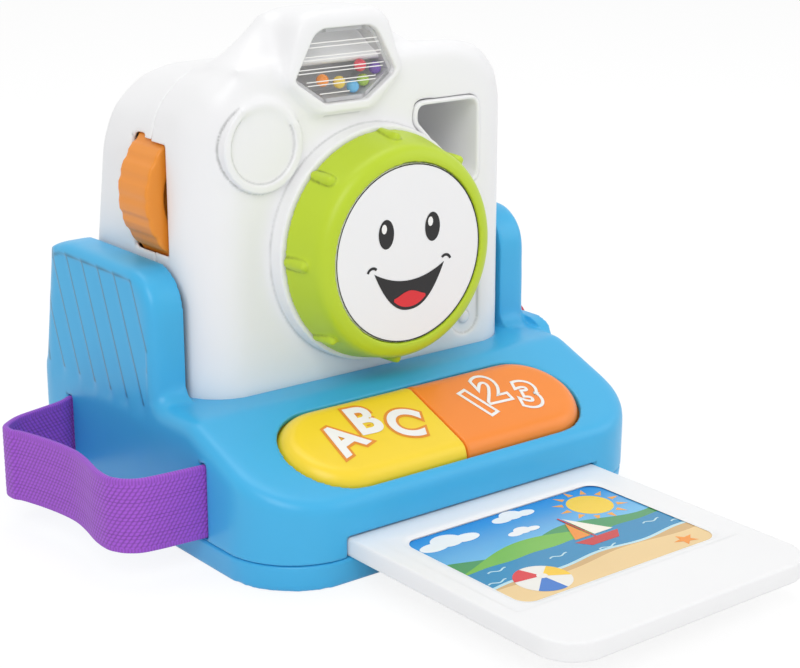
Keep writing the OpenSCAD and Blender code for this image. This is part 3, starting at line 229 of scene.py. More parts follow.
BLUE = plastic("blue_plastic", srgb(66, 180, 232))
WHITE = plastic("white_plastic", srgb(244, 244, 245), rough=0.36, mottle=0.015)
GREEN = plastic("green_plastic", srgb(190, 214, 44), rough=0.38)
ROLLER_ORANGE = plastic("roller_orange", srgb(240, 148, 48), rough=0.34)
YELLOW = plastic("yellow_plastic", srgb(253, 219, 52), rough=0.3)
BUTTON_ORANGE = plastic("button_orange", srgb(252, 143, 50), rough=0.3)
RED = plastic("red_plastic", srgb(206, 40, 62), rough=0.3)
GREY = plastic("chamber_grey", srgb(206, 206, 208), rough=0.45, mottle=0.1)
DARK = plastic("dark_plastic", srgb(42, 42, 44), rough=0.5)
BOARD = plastic("board_green", srgb(40, 110, 60), rough=0.45, mottle=0.2)
STEEL = metal("screw_steel", srgb(196, 198, 202))
CLEAR = clear_plastic("clear_plastic")
STRAP_PURPLE = webbing("strap_purple", srgb(160, 82, 205))


def ink(name, colour, rough=0.4):
    """Printed ink: a thin, slightly uneven film."""
    return plastic(name, colour, rough=rough, mottle=0.08, grain=0.12, grain_size=0.25 * MM)


def sky_print(name, low, high):
    """Glossy printed sky, paler towards the horizon, with a little unevenness."""
    material, tree, shader = new_material(name)
    coords = tree.nodes.new("ShaderNodeTexCoord").outputs["Object"]
    split = tree.nodes.new("ShaderNodeSeparateXYZ")
    tree.links.new(coords, split.inputs["Vector"])
    rise = tree.nodes.new("ShaderNodeMapRange")
    rise.inputs["From Min"].default_value = SKY_LOW_Y
    rise.inputs["From Max"].default_value = SKY_HIGH_Y
    tree.links.new(split.outputs["Y"], rise.inputs["Value"])
    uneven = tree.nodes.new("ShaderNodeMath")
    uneven.operation = "MULTIPLY_ADD"
    uneven.inputs[1].default_value = SKY_UNEVEN
    tree.links.new(add_noise(tree, SKY_SCALE, 2.0, coords), uneven.inputs[0])
    tree.links.new(rise.outputs["Result"], uneven.inputs[2])
    tree.links.new(add_mix(tree, uneven.outputs[0], low, high), shader.inputs["Base Color"])
    polish = add_noise(tree, SKY_GLOSS_SCALE, 2.0, coords)
    tree.links.new(add_range(tree, polish, *SKY_ROUGH), shader.inputs["Roughness"])
    return material


INK_BLACK = ink("ink_black", srgb(28, 26, 28))
INK_WHITE = ink("ink_white", srgb(250, 249, 247))
INK_ORANGE = ink("ink_orange", srgb(238, 150, 48))
INK_RED = ink("ink_red", srgb(226, 44, 52))


# Pieces

def link(name, mesh, material, body):
    """New piece of one material that rides on a body."""
    piece = bpy.data.objects.new(name, mesh)
    bpy.context.scene.collection.objects.link(piece)
    mesh.materials.clear()
    mesh.materials.append(material)
    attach(piece, body)
    return piece


def evaluated(piece):
    """New mesh of a piece with its modifiers carried out."""
    graph = bpy.context.evaluated_depsgraph_get()
    return bpy.data.meshes.new_from_object(piece.evaluated_get(graph))


def relax(coords, edges, weight, passes):
    """Moves each point towards the middle of its neighbours, by its own weight."""
    count = np.maximum(np.bincount(edges.ravel(), minlength=len(coords)), 1)
    for _ in range(passes):
        for axis in range(3):
            line = coords[:, axis]
            total = np.bincount(edges[:, 0], line[edges[:, 1]], len(line))
            total += np.bincount(edges[:, 1], line[edges[:, 0]], len(line))
            coords[:, axis] += weight * (total / count - line)


def crisp_points(mesh, step):
    """Points along edges where faces meet at a clear angle: all of them, and the hollow ones."""
    form = bmesh.new()
    form.from_mesh(mesh)
    bmesh.ops.remove_doubles(form, verts=form.verts, dist=SAME_CORNER)
    points, hollow = [], []
    for edge in form.edges:
        if len(edge.link_faces) != 2 or edge.calc_face_angle(0.0) < CRISP_ANGLE:
            continue
        start, end = (v.co for v in edge.verts)
        parts = max(1, int((end - start).length / step))
        line = [start.lerp(end, i / parts) for i in range(parts + 1)]
        points += line
        if edge.calc_face_angle_signed(0.0) < 0:
            hollow += line
    form.free()
    return points, hollow


def distances(coords, points):
    """Distance of each point to the nearest of the given ones."""
    if len(points) == 0:
        return np.full(len(coords), FAR)
    tree = kdtree.KDTree(len(points))
    for i, point in enumerate(points):
        tree.insert(point, i)
    tree.balance()
    return np.array([tree.find(co)[2] for co in coords])


def moulded(node, name, material, body, voxel, edge_passes=3, face_passes=40,
            extra=None, soft=None, plain=None, lines=(), shade=None):
    """Rounded copy of a CAD node: remeshed, smoothed a little at its edges and well between them.

    A mesh of extra form is joined to it. Soft says which edges blend away, plain which creases
    get no painted shade, lines are points along more creases with painted shade, and shade is
    painted shade in narrow gaps.
    """
    mesh = NODES[node].data.copy()
    draft = bpy.data.objects.new(name + "_draft", mesh)
    bpy.context.scene.collection.objects.link(draft)
    points, hollow = crisp_points(mesh, voxel)
    if soft:
        points = [point for point in points if not soft(point / MM)]
        hollow = [point for point in hollow if not soft(point / MM)]
    if plain:
        hollow = [point for point in hollow if not plain(point / MM)]
    hollow = hollow + list(lines)
    if extra:
        joined = bmesh.new()
        joined.from_mesh(mesh)
        joined.from_mesh(extra)
        joined.to_mesh(mesh)
        joined.free()
    remesh = draft.modifiers.new("remesh", "REMESH")
    remesh.mode = "VOXEL"
    remesh.voxel_size = voxel
    result = evaluated(draft)
    bpy.data.objects.remove(draft)
    count = len(result.vertices)
    coords = np.empty(count * 3)
    result.vertices.foreach_get("co", coords)
    coords = coords.reshape(-1, 3)
    edges = np.empty(len(result.edges) * 2, dtype=np.int64)
    result.edges.foreach_get("vertices", edges)
    edges = edges.reshape(-1, 2)
    share = np.clip((distances(coords, points) - voxel) / BLEND_REACH, 0.0, 1.0)
    # Painted shade: darker near hollow edges and along the extra lines, plus the shade of narrow
    # gaps
    crease_shade = np.clip(CREASE_SHADE_FULL - distances(coords, hollow) / CREASE_SHADE_WIDTH, 0.0, 1.0)
    if shade:
        crease_shade = np.maximum(crease_shade, shade(coords / MM))
    relax(coords, edges, RELAX_PULL * share, face_passes)
    relax(coords, edges, np.full(count, RELAX_PULL), edge_passes)
    result.vertices.foreach_set("co", coords.ravel())
    result.polygons.foreach_set("use_smooth", np.ones(len(result.polygons), dtype=bool))
    shade_layer = result.attributes.new("crease_shade", "FLOAT", "POINT")
    shade_layer.data.foreach_set("value", crease_shade.astype(np.float32))
    result.update()
    piece = link(name, result, material, body)
    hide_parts(node)
    return piece


def flat_mesh(name, outlines):
    """Mesh of flat faces from lists of corner points."""
    form = bmesh.new()
    for outline in outlines:
        form.faces.new([form.verts.new(point) for point in outline])
    bmesh.ops.triangulate(form, faces=form.faces)
    mesh = bpy.data.meshes.new(name)
    form.to_mesh(mesh)
    form.free()
    return mesh


def paint(nodes, material):
    """Material for nodes that keep their CAD shape."""
    for node in nodes:
        mesh = NODES[node].data
        mesh.materials.clear()
        mesh.materials.append(material)


# Shoulders that run out from the flash hump onto the body's top, in millimetres
HUMP_X = -10.7
HUMP_LOW_Z = 128.0
BODY_TOP_Z = 148.0
TOP_FALL_SHARE = 0.097
TOP_EDGE = 3.0
SHOULDER_FRONT_Y, SHOULDER_BACK_Y = -16.4, 9.3
SHOULDER_FULL_Y = (-4.0, -0.4)
SHOULDER_HALF_W = (19.4, 38.0)
SHOULDER_H = 15.2
SHOULDER_BEND = 1.3
SHOULDER_SINK, SHOULDER_FOOT = 1.2, 2.0
SHOULDER_RINGS, SHOULDER_STEPS = 44, 14

# Flash window: slanted sides (share of x, share of z, z, reach), top, and the crisp rim round it
WINDOW_SIDES = ((0.64, -0.768, 133.5, 5.8), (0.97, 0.25, 141.7, 18.3))
WINDOW_TOP_Z = 156.3
WINDOW_REACH_Y = -15.0
WINDOW_RIM = 1.6

# Wings: their foot, the bend of their front edge and the gap behind it with its painted shade, in
# millimetres
WING_INNER_X = 55.0
WING_FOOT_Z = (34.0, 54.0)
WING_BEND_Y, WING_BEND_Z = 6.0, 71.6
WING_BEND_R = 13.4
WING_GAP_FADE = 2.6

# Slats on the wings' outer faces, and the lines of painted shade along their steps
SLATS = 8
SLAT_START_Y, SLAT_FOOT_Z = -12.49, 40.5
SLAT_PITCH = 10.2
SLAT_LEAN = math.tan(math.radians(21.3))
SLAT_LOW_Z, SLAT_TOP_Z = 43.0, 82.0
SLAT_FRONT_Y, SLAT_BACK_Y = -4.4, 76.0
BACK_LEAN = math.tan(math.radians(10.7))
SLAT_DEPTHS = (75.8, 76.25, 76.7)
SLAT_FADE_X, SLAT_FADE_DOWN, SLAT_FADE_UP = 1.0, 3.0, 1.0
LINE_STEP = 0.25
LINE_HALF_W = 0.25

# Hub of the lens in the front shell: made slimmer, so that its remeshed skin turns freely
LENS_Z = 86.7 * MM
HUB_FRONT_Y = -21.0 * MM
HUB_REACH = 6.5 * MM
HUB_SHARE = 0.95


def shoulder_mesh():
    """Concave flare on both sides of the hump, rising from the front and falling to the back."""
    form = bmesh.new()
    rings = []
    top_w, foot_w = SHOULDER_HALF_W
    for y in np.linspace(SHOULDER_FRONT_Y, SHOULDER_BACK_Y, SHOULDER_RINGS):
        if y < SHOULDER_FULL_Y[0]:
            t = (y - SHOULDER_FRONT_Y) / (SHOULDER_FULL_Y[0] - SHOULDER_FRONT_Y)
        else:
            t = min(1.0, (SHOULDER_BACK_Y - y) / (SHOULDER_BACK_Y - SHOULDER_FULL_Y[1]))
        height = SHOULDER_H * t * t * (3 - 2 * t)
        low = BODY_TOP_Z - SHOULDER_SINK - TOP_FALL_SHARE * (y - SHOULDER_FRONT_Y)
        right = [(HUMP_X + top_w + (foot_w - top_w) * (1 - k) ** SHOULDER_BEND, y, low + height * k)
                 for k in np.linspace(0.0, 1.0, SHOULDER_STEPS)]
        left = [(2 * HUMP_X - x, y, z) for x, y, z in reversed(right)]
        foot = [(left[-1][0], y, low - SHOULDER_FOOT), (right[0][0], y, low - SHOULDER_FOOT)]
        rings.append([form.verts.new(Vector(p) * MM) for p in right + left + foot])
    for a, b in zip(rings, rings[1:]):
        for i in range(len(a)):
            k = (i + 1) % len(a)
            form.faces.new((a[i], a[k], b[k], b[i]))
    form.faces.new(rings[0][::-1])
    form.faces.new(rings[-1])
    bmesh.ops.recalc_face_normals(form, faces=form.faces)
    mesh = bpy.data.meshes.new("shoulders")
    form.to_mesh(mesh)
    form.free()
    return mesh


def on_hump(point):
    """Edges of the hump that blend into the body: all but those next to the window."""
    off = abs(point.x - HUMP_X)
    if point.y > WINDOW_REACH_Y or point.z < HUMP_LOW_Z or off > SHOULDER_HALF_W[1]:
        return (point.z > BODY_TOP_Z - TOP_EDGE and off < SHOULDER_HALF_W[1] + TOP_EDGE
                and point.y > WINDOW_REACH_Y)
    sides = [off * across + (point.z - middle) * up - reach
             for across, up, middle, reach in WINDOW_SIDES]
    return max(sides + [point.z - WINDOW_TOP_Z]) > WINDOW_RIM


# Creases here get no painted shade.
def at_wing_foot(point):
    """Places on the housing where the photograph shows no crease."""
    return abs(point.x) > WING_INNER_X and WING_FOOT_Z[0] < point.z < WING_FOOT_Z[1]


def slat_shade_lines():
    """Points along the steps between the slats of both wings, where lines of shade are painted."""
    points = []
    for i in range(SLATS):
        for z in np.arange(SLAT_LOW_Z, SLAT_TOP_Z, LINE_STEP):
            y = SLAT_START_Y + SLAT_PITCH * i + (z - SLAT_FOOT_Z) * SLAT_LEAN
            if SLAT_FRONT_Y < y < SLAT_BACK_Y - z * BACK_LEAN:
                points += [Vector((side * x, y + shift, z)) * MM for side in (-1, 1)
                           for x in SLAT_DEPTHS for shift in (-LINE_HALF_W, LINE_HALF_W)]
    return points


def at_slat_foot(point):
    """Lower ends of the slats, which fade out into the wing."""
    return (abs(point.x) > SLAT_DEPTHS[0] - SLAT_FADE_X
            and SLAT_FOOT_Z - SLAT_FADE_DOWN < point.z < SLAT_LOW_Z + SLAT_FADE_UP)


def shade_in_wing_gap(coords):
    """Painted shade on the flanks in the gaps behind the wings' front edges: how deep points lie
    there, 0 to 1.
    """
    ahead = np.clip(WING_BEND_Y - coords[:, 1], 0.0, None)
    above = np.clip(coords[:, 2] - WING_BEND_Z, 0.0, None)
    depth = WING_BEND_R - np.hypot(ahead, above)
    shade = np.clip(depth / WING_GAP_FADE, 0.0, 1.0)
    shade[(np.abs(coords[:, 0]) < WING_INNER_X) | (coords[:, 2] < WING_FOOT_Z[0])] = 0.0
    return shade


# Moulded shells
moulded("base_upper_housing", "upper_housing", BLUE, "camera", 0.6 * MM,
        edge_passes=1, plain=at_wing_foot, lines=slat_shade_lines(), soft=at_slat_foot)
moulded("base_bottom_cover", "bottom_cover", BLUE, "camera", 0.9 * MM)
moulded("front_shell", "camera_front", WHITE, "camera", 0.55 * MM, edge_passes=1,
        face_passes=60, extra=shoulder_mesh(), soft=on_hump, shade=shade_in_wing_gap)
moulded("rear_shell", "camera_back", WHITE, "camera", 0.8 * MM, face_passes=60)
moulded("viewfinder_tunnel", "viewfinder_tube", WHITE, "camera", 0.6 * MM)
lens_grip = moulded("lens_ring", "lens_grip", GREEN, "lens", 0.55 * MM)
for vertex in lens_grip.data.vertices:
    if vertex.co.y > HUB_FRONT_Y and math.hypot(vertex.co.x, vertex.co.z - LENS_Z) < HUB_REACH:
        vertex.co.x *= HUB_SHARE
        vertex.co.z = LENS_Z + (vertex.co.z - LENS_Z) * HUB_SHARE
moulded("lens_face_disc", "lens_face", WHITE, "lens", 0.5 * MM)
moulded("roller_wheel", "roller", ROLLER_ORANGE, "roller", 0.5 * MM)
moulded("yellow_button", "button_yellow", YELLOW, "yellow_button", 0.5 * MM)
moulded("orange_button", "button_orange", BUTTON_ORANGE, "orange_button", 0.5 * MM)
moulded("print_card", "card", WHITE, "card", 0.7 * MM)
moulded("power_switch_knob", "power_knob", RED, "power_knob", 0.5 * MM)

# Nodes that keep their CAD shape
BEADS = {"bead_orange": (238, 140, 30), "bead_yellow": (226, 196, 70), "bead_red": (214, 52, 76),
         "bead_purple": (98, 52, 160), "bead_blue": (88, 172, 220), "bead_green": (146, 178, 50)}
BEAD_BRIGHTNESS = 1.25
paint(["battery_door"], BLUE)
paint(["base_screws", "battery_door_screw", "battery_contacts", "board_screws", "deck_screws",
       "body_screws", "lens_screw", "lens_click_spring", "roller_axle"], STEEL)
paint(["battery_cells", "button_switches", "power_switch_body", "speaker"], DARK)
paint(["card_rails", "strap_clips", "flash_chamber", "lens_ratchet"], GREY)
paint(["circuit_board", "flash_lamp"], BOARD)
paint(["flash_window"], CLEAR)
paint(["strap"], STRAP_PURPLE)
for node, colour in BEADS.items():
    paint([node], plastic(node + "_plastic", scaled(srgb(*colour), BEAD_BRIGHTNESS), rough=0.15))

# Strap: woven tape along the route of its CAD node, in shares of its reach and span
FLANK_X = -76.7 * MM
STRAP_LOW_Z = 9.6 * MM
STRAP_WIDTH = 23.4 * MM
STRAP_THICK = 2.2 * MM
STRAP_FRONT_Y = -35.0 * MM
STRAP_SPAN = 82.0 * MM
STRAP_REACH = 30.5 * MM
STRAP_TAIL = 4.9 * MM
STRAP_ROUTE = [
    (0, 0), (0.24, 0.006), (0.46, 0.012), (0.66, 0.024), (0.78, 0.052), (0.84, 0.082),
    (0.88, 0.126), (0.87, 0.21), (0.81, 0.323), (0.78, 0.42), (0.8, 0.523), (0.86, 0.639),
    (0.94, 0.743), (0.99, 0.78), (0.98, 0.835), (0.87, 0.876), (0.71, 0.911), (0.44, 0.938),
    (0.16, 0.966), (0, 1)]
ROUTE_STEPS = 24
TURN_PASSES = 12
EDGE_ROUND = 0.8 * MM
EDGE_SHARE = 0.3

# Weave: pillows in staggered rows, and plain ribs along the selvages
WEAVE_STEP = 0.22 * MM
WEAVE_LENGTH = 1.5 * MM
WEAVE_ROW = 1.15 * MM
WEAVE_HEIGHT = 0.17 * MM
WEAVE_STAGGER, WEAVE_SLANT = 0.5, 0.45
RIB_MIDDLE, RIB_SWING = 0.55, 0.25
RIB_PITCH = 0.6 * WEAVE_LENGTH
SELVAGE = 1.5 * MM
SELVAGE_FADE = 0.4 * MM


def strap_line():
    """Middle line of the strap, with its tails in the flank, at even steps, and its length."""
    knots = [Vector((FLANK_X - out * STRAP_REACH, STRAP_FRONT_Y + along * STRAP_SPAN))
             for out, along in STRAP_ROUTE]
    points = [knots[0] + Vector((STRAP_TAIL, 0.0))]
    for i in range(len(knots) - 1):
        a, b, c, d = (knots[max(0, min(len(knots) - 1, k))] for k in (i - 1, i, i + 1, i + 2))
        for step in range(ROUTE_STEPS):
            t = step / ROUTE_STEPS
            points.append(0.5 * (2 * b + (c - a) * t + (2 * a - 5 * b + 4 * c - d) * t * t
                                 + (3 * b - a - 3 * c + d) * t ** 3))
    points += [knots[-1], knots[-1] + Vector((STRAP_TAIL, 0.0))]
    line = np.array(points)
    reach = np.concatenate([[0.0], np.cumsum(np.linalg.norm(np.diff(line, axis=0), axis=1))])
    even = np.linspace(0.0, reach[-1], int(reach[-1] / WEAVE_STEP) + 1)
    return np.stack([np.interp(even, reach, line[:, axis]) for axis in (0, 1)], axis=1), reach[-1]


def weave(along, up):
    """Height of the weave, 0 to 1: slanted pillows in rows, plain ribs along the selvages."""
    row = np.floor(up / WEAVE_ROW)
    rise = up / WEAVE_ROW - row
    place = along / WEAVE_LENGTH + WEAVE_STAGGER * (row % 2) + WEAVE_SLANT * rise
    run = place - np.floor(place)
    pillow = (1 - (2 * run - 1) ** 2) * (1 - (2 * rise - 1) ** 4)
    rib = RIB_MIDDLE + RIB_SWING * np.cos(2 * np.pi * along / RIB_PITCH)
    edge = np.minimum(up, STRAP_WIDTH - up)
    share = np.clip((edge - SELVAGE) / SELVAGE_FADE, 0.0, 1.0)
    return share * pillow + (1 - share) * rib


def make_strap():
    """Woven tape with two sides and an edge all round, in the place of the CAD strap."""
    line, length = strap_line()
    tangent = np.gradient(line, axis=0)
    for _ in range(TURN_PASSES):
        tangent[1:-1] = (tangent[:-2] + tangent[1:-1] + tangent[2:]) / 3
    tangent /= np.linalg.norm(tangent, axis=1)[:, None]
    normal = np.stack([-tangent[:, 1], tangent[:, 0]], axis=1)
    across = int(STRAP_WIDTH / WEAVE_STEP)
    up = np.linspace(0.0, STRAP_WIDTH, across + 1)
    along = np.linspace(0.0, length, len(line))
    height = weave(along[:, None], up[None, :])
    inset = np.clip(np.minimum(up, STRAP_WIDTH - up) / EDGE_ROUND, 0, 1)
    taper = EDGE_SHARE + (1 - EDGE_SHARE) * np.sqrt(np.clip(1 - (1 - inset) ** 2, 0.0, 1.0))
    half = (STRAP_THICK / 2 - WEAVE_HEIGHT) * taper + WEAVE_HEIGHT * height
    coords = []
    for side in (1, -1):
        spread = line[:, None, :] + side * normal[:, None, :] * half[:, :, None]
        level = np.broadcast_to(STRAP_LOW_Z + up, half.shape)
        coords.append(np.concatenate([spread, level[:, :, None]], axis=2).reshape(-1, 3))
    count, wide = half.shape
    total = count * wide
    grid = np.arange(total).reshape(count, wide)
    front = np.stack([grid[:-1, :-1], grid[:-1, 1:], grid[1:, 1:], grid[1:, :-1]], axis=-1)
    front = front.reshape(-1, 4)
    loop = np.concatenate([grid[:, 0], grid[-1, 1:], grid[::-1, -1][1:], grid[0, ::-1][1:]])
    rim = np.stack([loop[:-1], loop[1:], loop[1:] + total, loop[:-1] + total], axis=-1)
    faces = np.concatenate([front, front[:, ::-1] + total, rim])
    mesh = bpy.data.meshes.new("strap_tape")
    mesh.from_pydata(np.concatenate(coords).tolist(), [], faces.tolist())
    depth = mesh.attributes.new("weave", "FLOAT", "POINT")
    depth.data.foreach_set("value", np.tile(height.ravel(), 2).astype(np.float32))
    mesh.polygons.foreach_set("use_smooth", np.ones(len(mesh.polygons), dtype=bool))
    mesh.validate()
    mesh.update()
    strap = link("strap_tape", mesh, STRAP_PURPLE, "camera")
    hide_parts("strap")


make_strap()

# Prints: thin films of ink on their carriers
LENS_FACE_Y = -38.0
WINDOW_FACE_Y = -19.8
PICTURE_AT = (0.0, -110.2, 13.75)
INK_LIFT = 0.05 * MM


def frame_matrix(origin, right, up):
    """Matrix from a flat drawing, x right and y up, to a place on the part."""
    right, up = Vector(right), Vector(up)
    face = right.cross(up)
    matrix = Matrix((right, up, face)).transposed().to_4x4()
    matrix.translation = origin
    return matrix


PLATFORM = frame_matrix(PILL_MIDDLE + PILL_PROUD * Vector((0, -math.sin(SLOPE), math.cos(SLOPE))),
                        (1, 0, 0), (0, math.cos(SLOPE), math.sin(SLOPE)))
LENS_FACE = frame_matrix(Vector((0.0, LENS_FACE_Y * MM, LENS_Z)), (1, 0, 0), (0, 0, 1))
CARD_FACE = frame_matrix(Vector(PICTURE_AT) * MM, (1, 0, 0), (0, 1, 0))
WINDOW_FACE = frame_matrix(Vector((0.0, WINDOW_FACE_Y, 0.0)) * MM, (1, 0, 0), (0, 0, 1))


def film(name, outlines, place, level, material, body, lift=INK_LIFT):
    """Flat printed shape, its corners in millimetres in the drawing's plane."""
    corners = [[(x * MM, y * MM, level * lift) for x, y in outline] for outline in outlines]
    mesh = flat_mesh(name, corners)
    mesh.transform(place)
    piece = link(name, mesh, material, body)
    return piece


def oval(x, y, half_w, half_h, parts=48, start=0.0, end=360.0):
    """Points round an oval, or along a part of it with both its ends."""
    count = parts + (end - start < 360.0)
    turns = [math.radians(start + (end - start) * i / parts) for i in range(count)]
    return [(x + half_w * math.cos(a), y + half_h * math.sin(a)) for a in turns]


def stroke(points, half_w):
    """Quads along a line, as thick as a pen."""
    sides = []
    for i, (x, y) in enumerate(points):
        before, after = points[max(0, i - 1)], points[min(len(points) - 1, i + 1)]
        dx, dy = after[0] - before[0], after[1] - before[1]
        size = math.hypot(dx, dy)
        off_x, off_y = dy / size * half_w, dx / size * half_w
        sides.append(((x - off_x, y + off_y), (x + off_x, y - off_y)))
    return [[a[0], b[0], b[1], a[1]] for a, b in zip(sides, sides[1:])]


def away(centre, radius, turn):
    """Point at a distance and a turn from a centre."""
    return centre[0] + radius * math.cos(turn), centre[1] + radius * math.sin(turn)


# Letters and numbers on the buttons: place and turn, how far they swell, and their layers
LETTERS = (("A", (-37.0, -0.6), 19.0), ("B", (-25.4, 4.9), -3.0), ("C", (-13.2, -0.4), -24.0))
NUMBERS = (("1", (17.4, -0.2), 17.0), ("2", (25.8, 4.4), -2.0), ("3", (37.0, -2.2), -18.0))
GLYPH_SIZE = 17.4
GLYPH_STEPS = 8
LETTER_RIM_SWELL, LETTER_SWELL, NUMBER_SWELL = 1.55, 0.6, 0.85
LOWER_LAYER, UPPER_LAYER = 2, 4
OUTLINE_R = 0.6 * MM
OUTLINE_STEPS = 2
OUTLINE_FLAT = 0.12


def glyph(name, text, at, turn, swell, level, material, body, outlined=False):
    """One letter or number on the buttons, filled or as an outline."""
    curve = bpy.data.curves.new(name, "FONT")
    curve.body = text
    curve.size = GLYPH_SIZE * MM
    curve.align_x, curve.align_y = "CENTER", "CENTER"
    curve.offset = swell * MM
    curve.resolution_u = GLYPH_STEPS
    if outlined:
        curve.fill_mode = "NONE"
        curve.bevel_depth = OUTLINE_R
        curve.bevel_resolution = OUTLINE_STEPS
    draft = bpy.data.objects.new(name + "_draft", curve)
    bpy.context.scene.collection.objects.link(draft)
    mesh = evaluated(draft)
    bpy.data.objects.remove(draft)
    thin = Matrix.Scale(OUTLINE_FLAT, 4, (0, 0, 1)) if outlined else Matrix.Identity(4)
    shift = Matrix.Translation((at[0] * MM, at[1] * MM, level * INK_LIFT))
    spot = shift @ Matrix.Rotation(math.radians(turn), 4, "Z")
    mesh.transform(PLATFORM @ spot @ thin)
    link(name, mesh, material, body)


for letter, at, turn in LETTERS:
    glyph("letter_rim_" + letter, letter, at, turn, LETTER_RIM_SWELL, LOWER_LAYER, INK_ORANGE,
          "yellow_button")
    glyph("letter_" + letter, letter, at, turn, LETTER_SWELL, UPPER_LAYER, INK_WHITE,
          "yellow_button")
for number, at, turn in NUMBERS:
    glyph("number_" + number, number, at, turn, NUMBER_SWELL, LOWER_LAYER, INK_WHITE,
          "orange_button", outlined=True)

# Smiling face on the lens, of a plain design of its own, in millimetres
FACE_R, FACE_PARTS = 28.55, 96
FACE_RIM_SHARE = 0.986
EYE_X, EYE_Y, EYE_HALF = 9.2, 7.4, (3.0, 4.7)
EYE_LIGHT_SHIFT, EYE_LIGHT_Y, EYE_LIGHT_HALF = 0.9, 9.2, (1.0, 1.5)
CHEEK_X, CHEEK_Y, CHEEK_R = 14.6, -4.6, 2.0
CHEEK_TURNS = np.linspace(0.3, 2.4, 12)
CHEEK_PEN = 0.45
MOUTH_HALF_W, MOUTH_POINTS = 14.0, 41
LIP_TOP_Y, LIP_TOP_RISE = -8.6, 4.0
LIP_LOW_Y, LIP_LOW_RISE, LIP_LOW_POWER = -18.2, 13.6, 2.3
TONGUE_LOW_Y, TONGUE_LOW_HALF_W, TONGUE_SPREAD = -17.2, 6.4, 13.2
TONGUE_TOP_Y, TONGUE_TOP_HALF_W = -13.0, 6.2
TONGUE_WAVE, TONGUE_POINTS = 0.42, 25

RIM = oval(0, 0, FACE_R, FACE_R, FACE_PARTS)
RIM_INNER = [(x * FACE_RIM_SHARE, y * FACE_RIM_SHARE) for x, y in RIM]
RIM_NEXT = list(range(1, FACE_PARTS)) + [0]
film("face_rim", [[RIM[i], RIM[k], RIM_INNER[k], RIM_INNER[i]] for i, k in enumerate(RIM_NEXT)],
     LENS_FACE, 1, INK_BLACK, "lens")
for side, where in ((-1, "left"), (1, "right")):
    light = oval(side * EYE_X - EYE_LIGHT_SHIFT, EYE_LIGHT_Y, *EYE_LIGHT_HALF)
    cheek = [(side * (CHEEK_X + CHEEK_R * math.cos(a)), CHEEK_Y + CHEEK_R * math.sin(a))
             for a in CHEEK_TURNS]
    eye = oval(side * EYE_X, EYE_Y, *EYE_HALF)
    film("eye_" + where, [eye], LENS_FACE, LOWER_LAYER, INK_BLACK, "lens")
    film("eye_light_" + where, [light], LENS_FACE, UPPER_LAYER, INK_WHITE, "lens")
    film("cheek_" + where, stroke(cheek, CHEEK_PEN), LENS_FACE, LOWER_LAYER, INK_BLACK, "lens")
MOUTH_TOP = [(x, LIP_TOP_Y + LIP_TOP_RISE * (x / MOUTH_HALF_W) ** 2)
             for x in np.linspace(-MOUTH_HALF_W, MOUTH_HALF_W, MOUTH_POINTS)]
MOUTH_LOW = [(x, LIP_LOW_Y + LIP_LOW_RISE * abs(x / MOUTH_HALF_W) ** LIP_LOW_POWER)
             for x in np.linspace(MOUTH_HALF_W, -MOUTH_HALF_W, MOUTH_POINTS)]
film("mouth", [MOUTH_TOP + MOUTH_LOW[1:-1]], LENS_FACE, LOWER_LAYER, INK_BLACK, "lens")
TONGUE_LOW = [(x, TONGUE_LOW_Y + LIP_LOW_RISE * abs(x / TONGUE_SPREAD) ** LIP_LOW_POWER)
              for x in np.linspace(TONGUE_LOW_HALF_W, -TONGUE_LOW_HALF_W, TONGUE_POINTS)]
TONGUE_TOP = [(x, TONGUE_TOP_Y + math.cos(x * TONGUE_WAVE))
              for x in np.linspace(-TONGUE_TOP_HALF_W, TONGUE_TOP_HALF_W, TONGUE_POINTS)]
film("tongue", [TONGUE_LOW + TONGUE_TOP], LENS_FACE, UPPER_LAYER, INK_RED, "lens")

# Seaside picture on the card, drawn flat: sun, clouds, hills, sea, a boat, and a ball on the sand
PICTURE_HALF_W, PICTURE_HALF_L = 43.0, 29.0
PICTURE_LIFT = 0.02 * MM
PICTURE_ROUGH = 0.22
INKS = {name: ink("ink_" + name, srgb(*colour), rough=PICTURE_ROUGH) for name, colour in {
    "sun": (255, 214, 40), "ray": (250, 170, 50), "cloud": (250, 252, 253), "hill": (120, 190, 70),
    "far_hill": (70, 155, 95), "sea": (36, 140, 190), "foam": (190, 228, 238),
    "sand": (240, 208, 150), "wet_sand": (214, 176, 118), "hull": (206, 46, 48),
    "sail": (252, 246, 232), "flag": (246, 150, 40), "ball": (240, 238, 232),
    "ball_red": (222, 50, 56), "ball_blue": (50, 120, 205), "ball_yellow": (250, 205, 50),
}.items()}
SKY_LOW, SKY_HIGH = srgb(120, 200, 240), srgb(40, 140, 222)
WAVE_POINTS = 61
SUN_AT, SUN_R = (26, 15), 7.4
RAYS, RAY_INNER_R, RAY_OUTER_R, RAY_HALF_TURN = 12, 8.6, 12.2, 0.13
CLOUDS = ((-27, 19, 1.0), (1, 22.5, 0.75), (-4, 12, 0.55))
PUFFS = ((-6, 0, 5, 2.8), (0, 1.6, 5.4, 4.2), (6.2, 0, 4.8, 2.6))
RIPPLES = ((-33, -5), (-12, -8), (28, -6), (36, -10), (-38, -11), (4, -12))
RIPPLE_STEPS = np.linspace(0, 7, 15)
RIPPLE_SWING, RIPPLE_WAVE, RIPPLE_PEN = 0.5, 1.2, 0.28
MAST_PEN = 0.35
BALL_AT, BALL_R = (-23, -17), 8.6
BALL_CAP_AT, BALL_CAP_HALF = (-22.0, -15.6), (1.7, 1.6)
BALL_SECTORS = ((100, "ball_red"), (220, "ball_blue"), (340, "ball_yellow"))
SECTOR_TURN, SECTOR_PARTS, CAP_PARTS = 62, 16, 24
STAR_AT, STAR_R = (29, -22.5), (4.4, 1.9)
STAR_TIPS, STAR_TURN, STAR_FLAT = 5, 0.5, 0.8


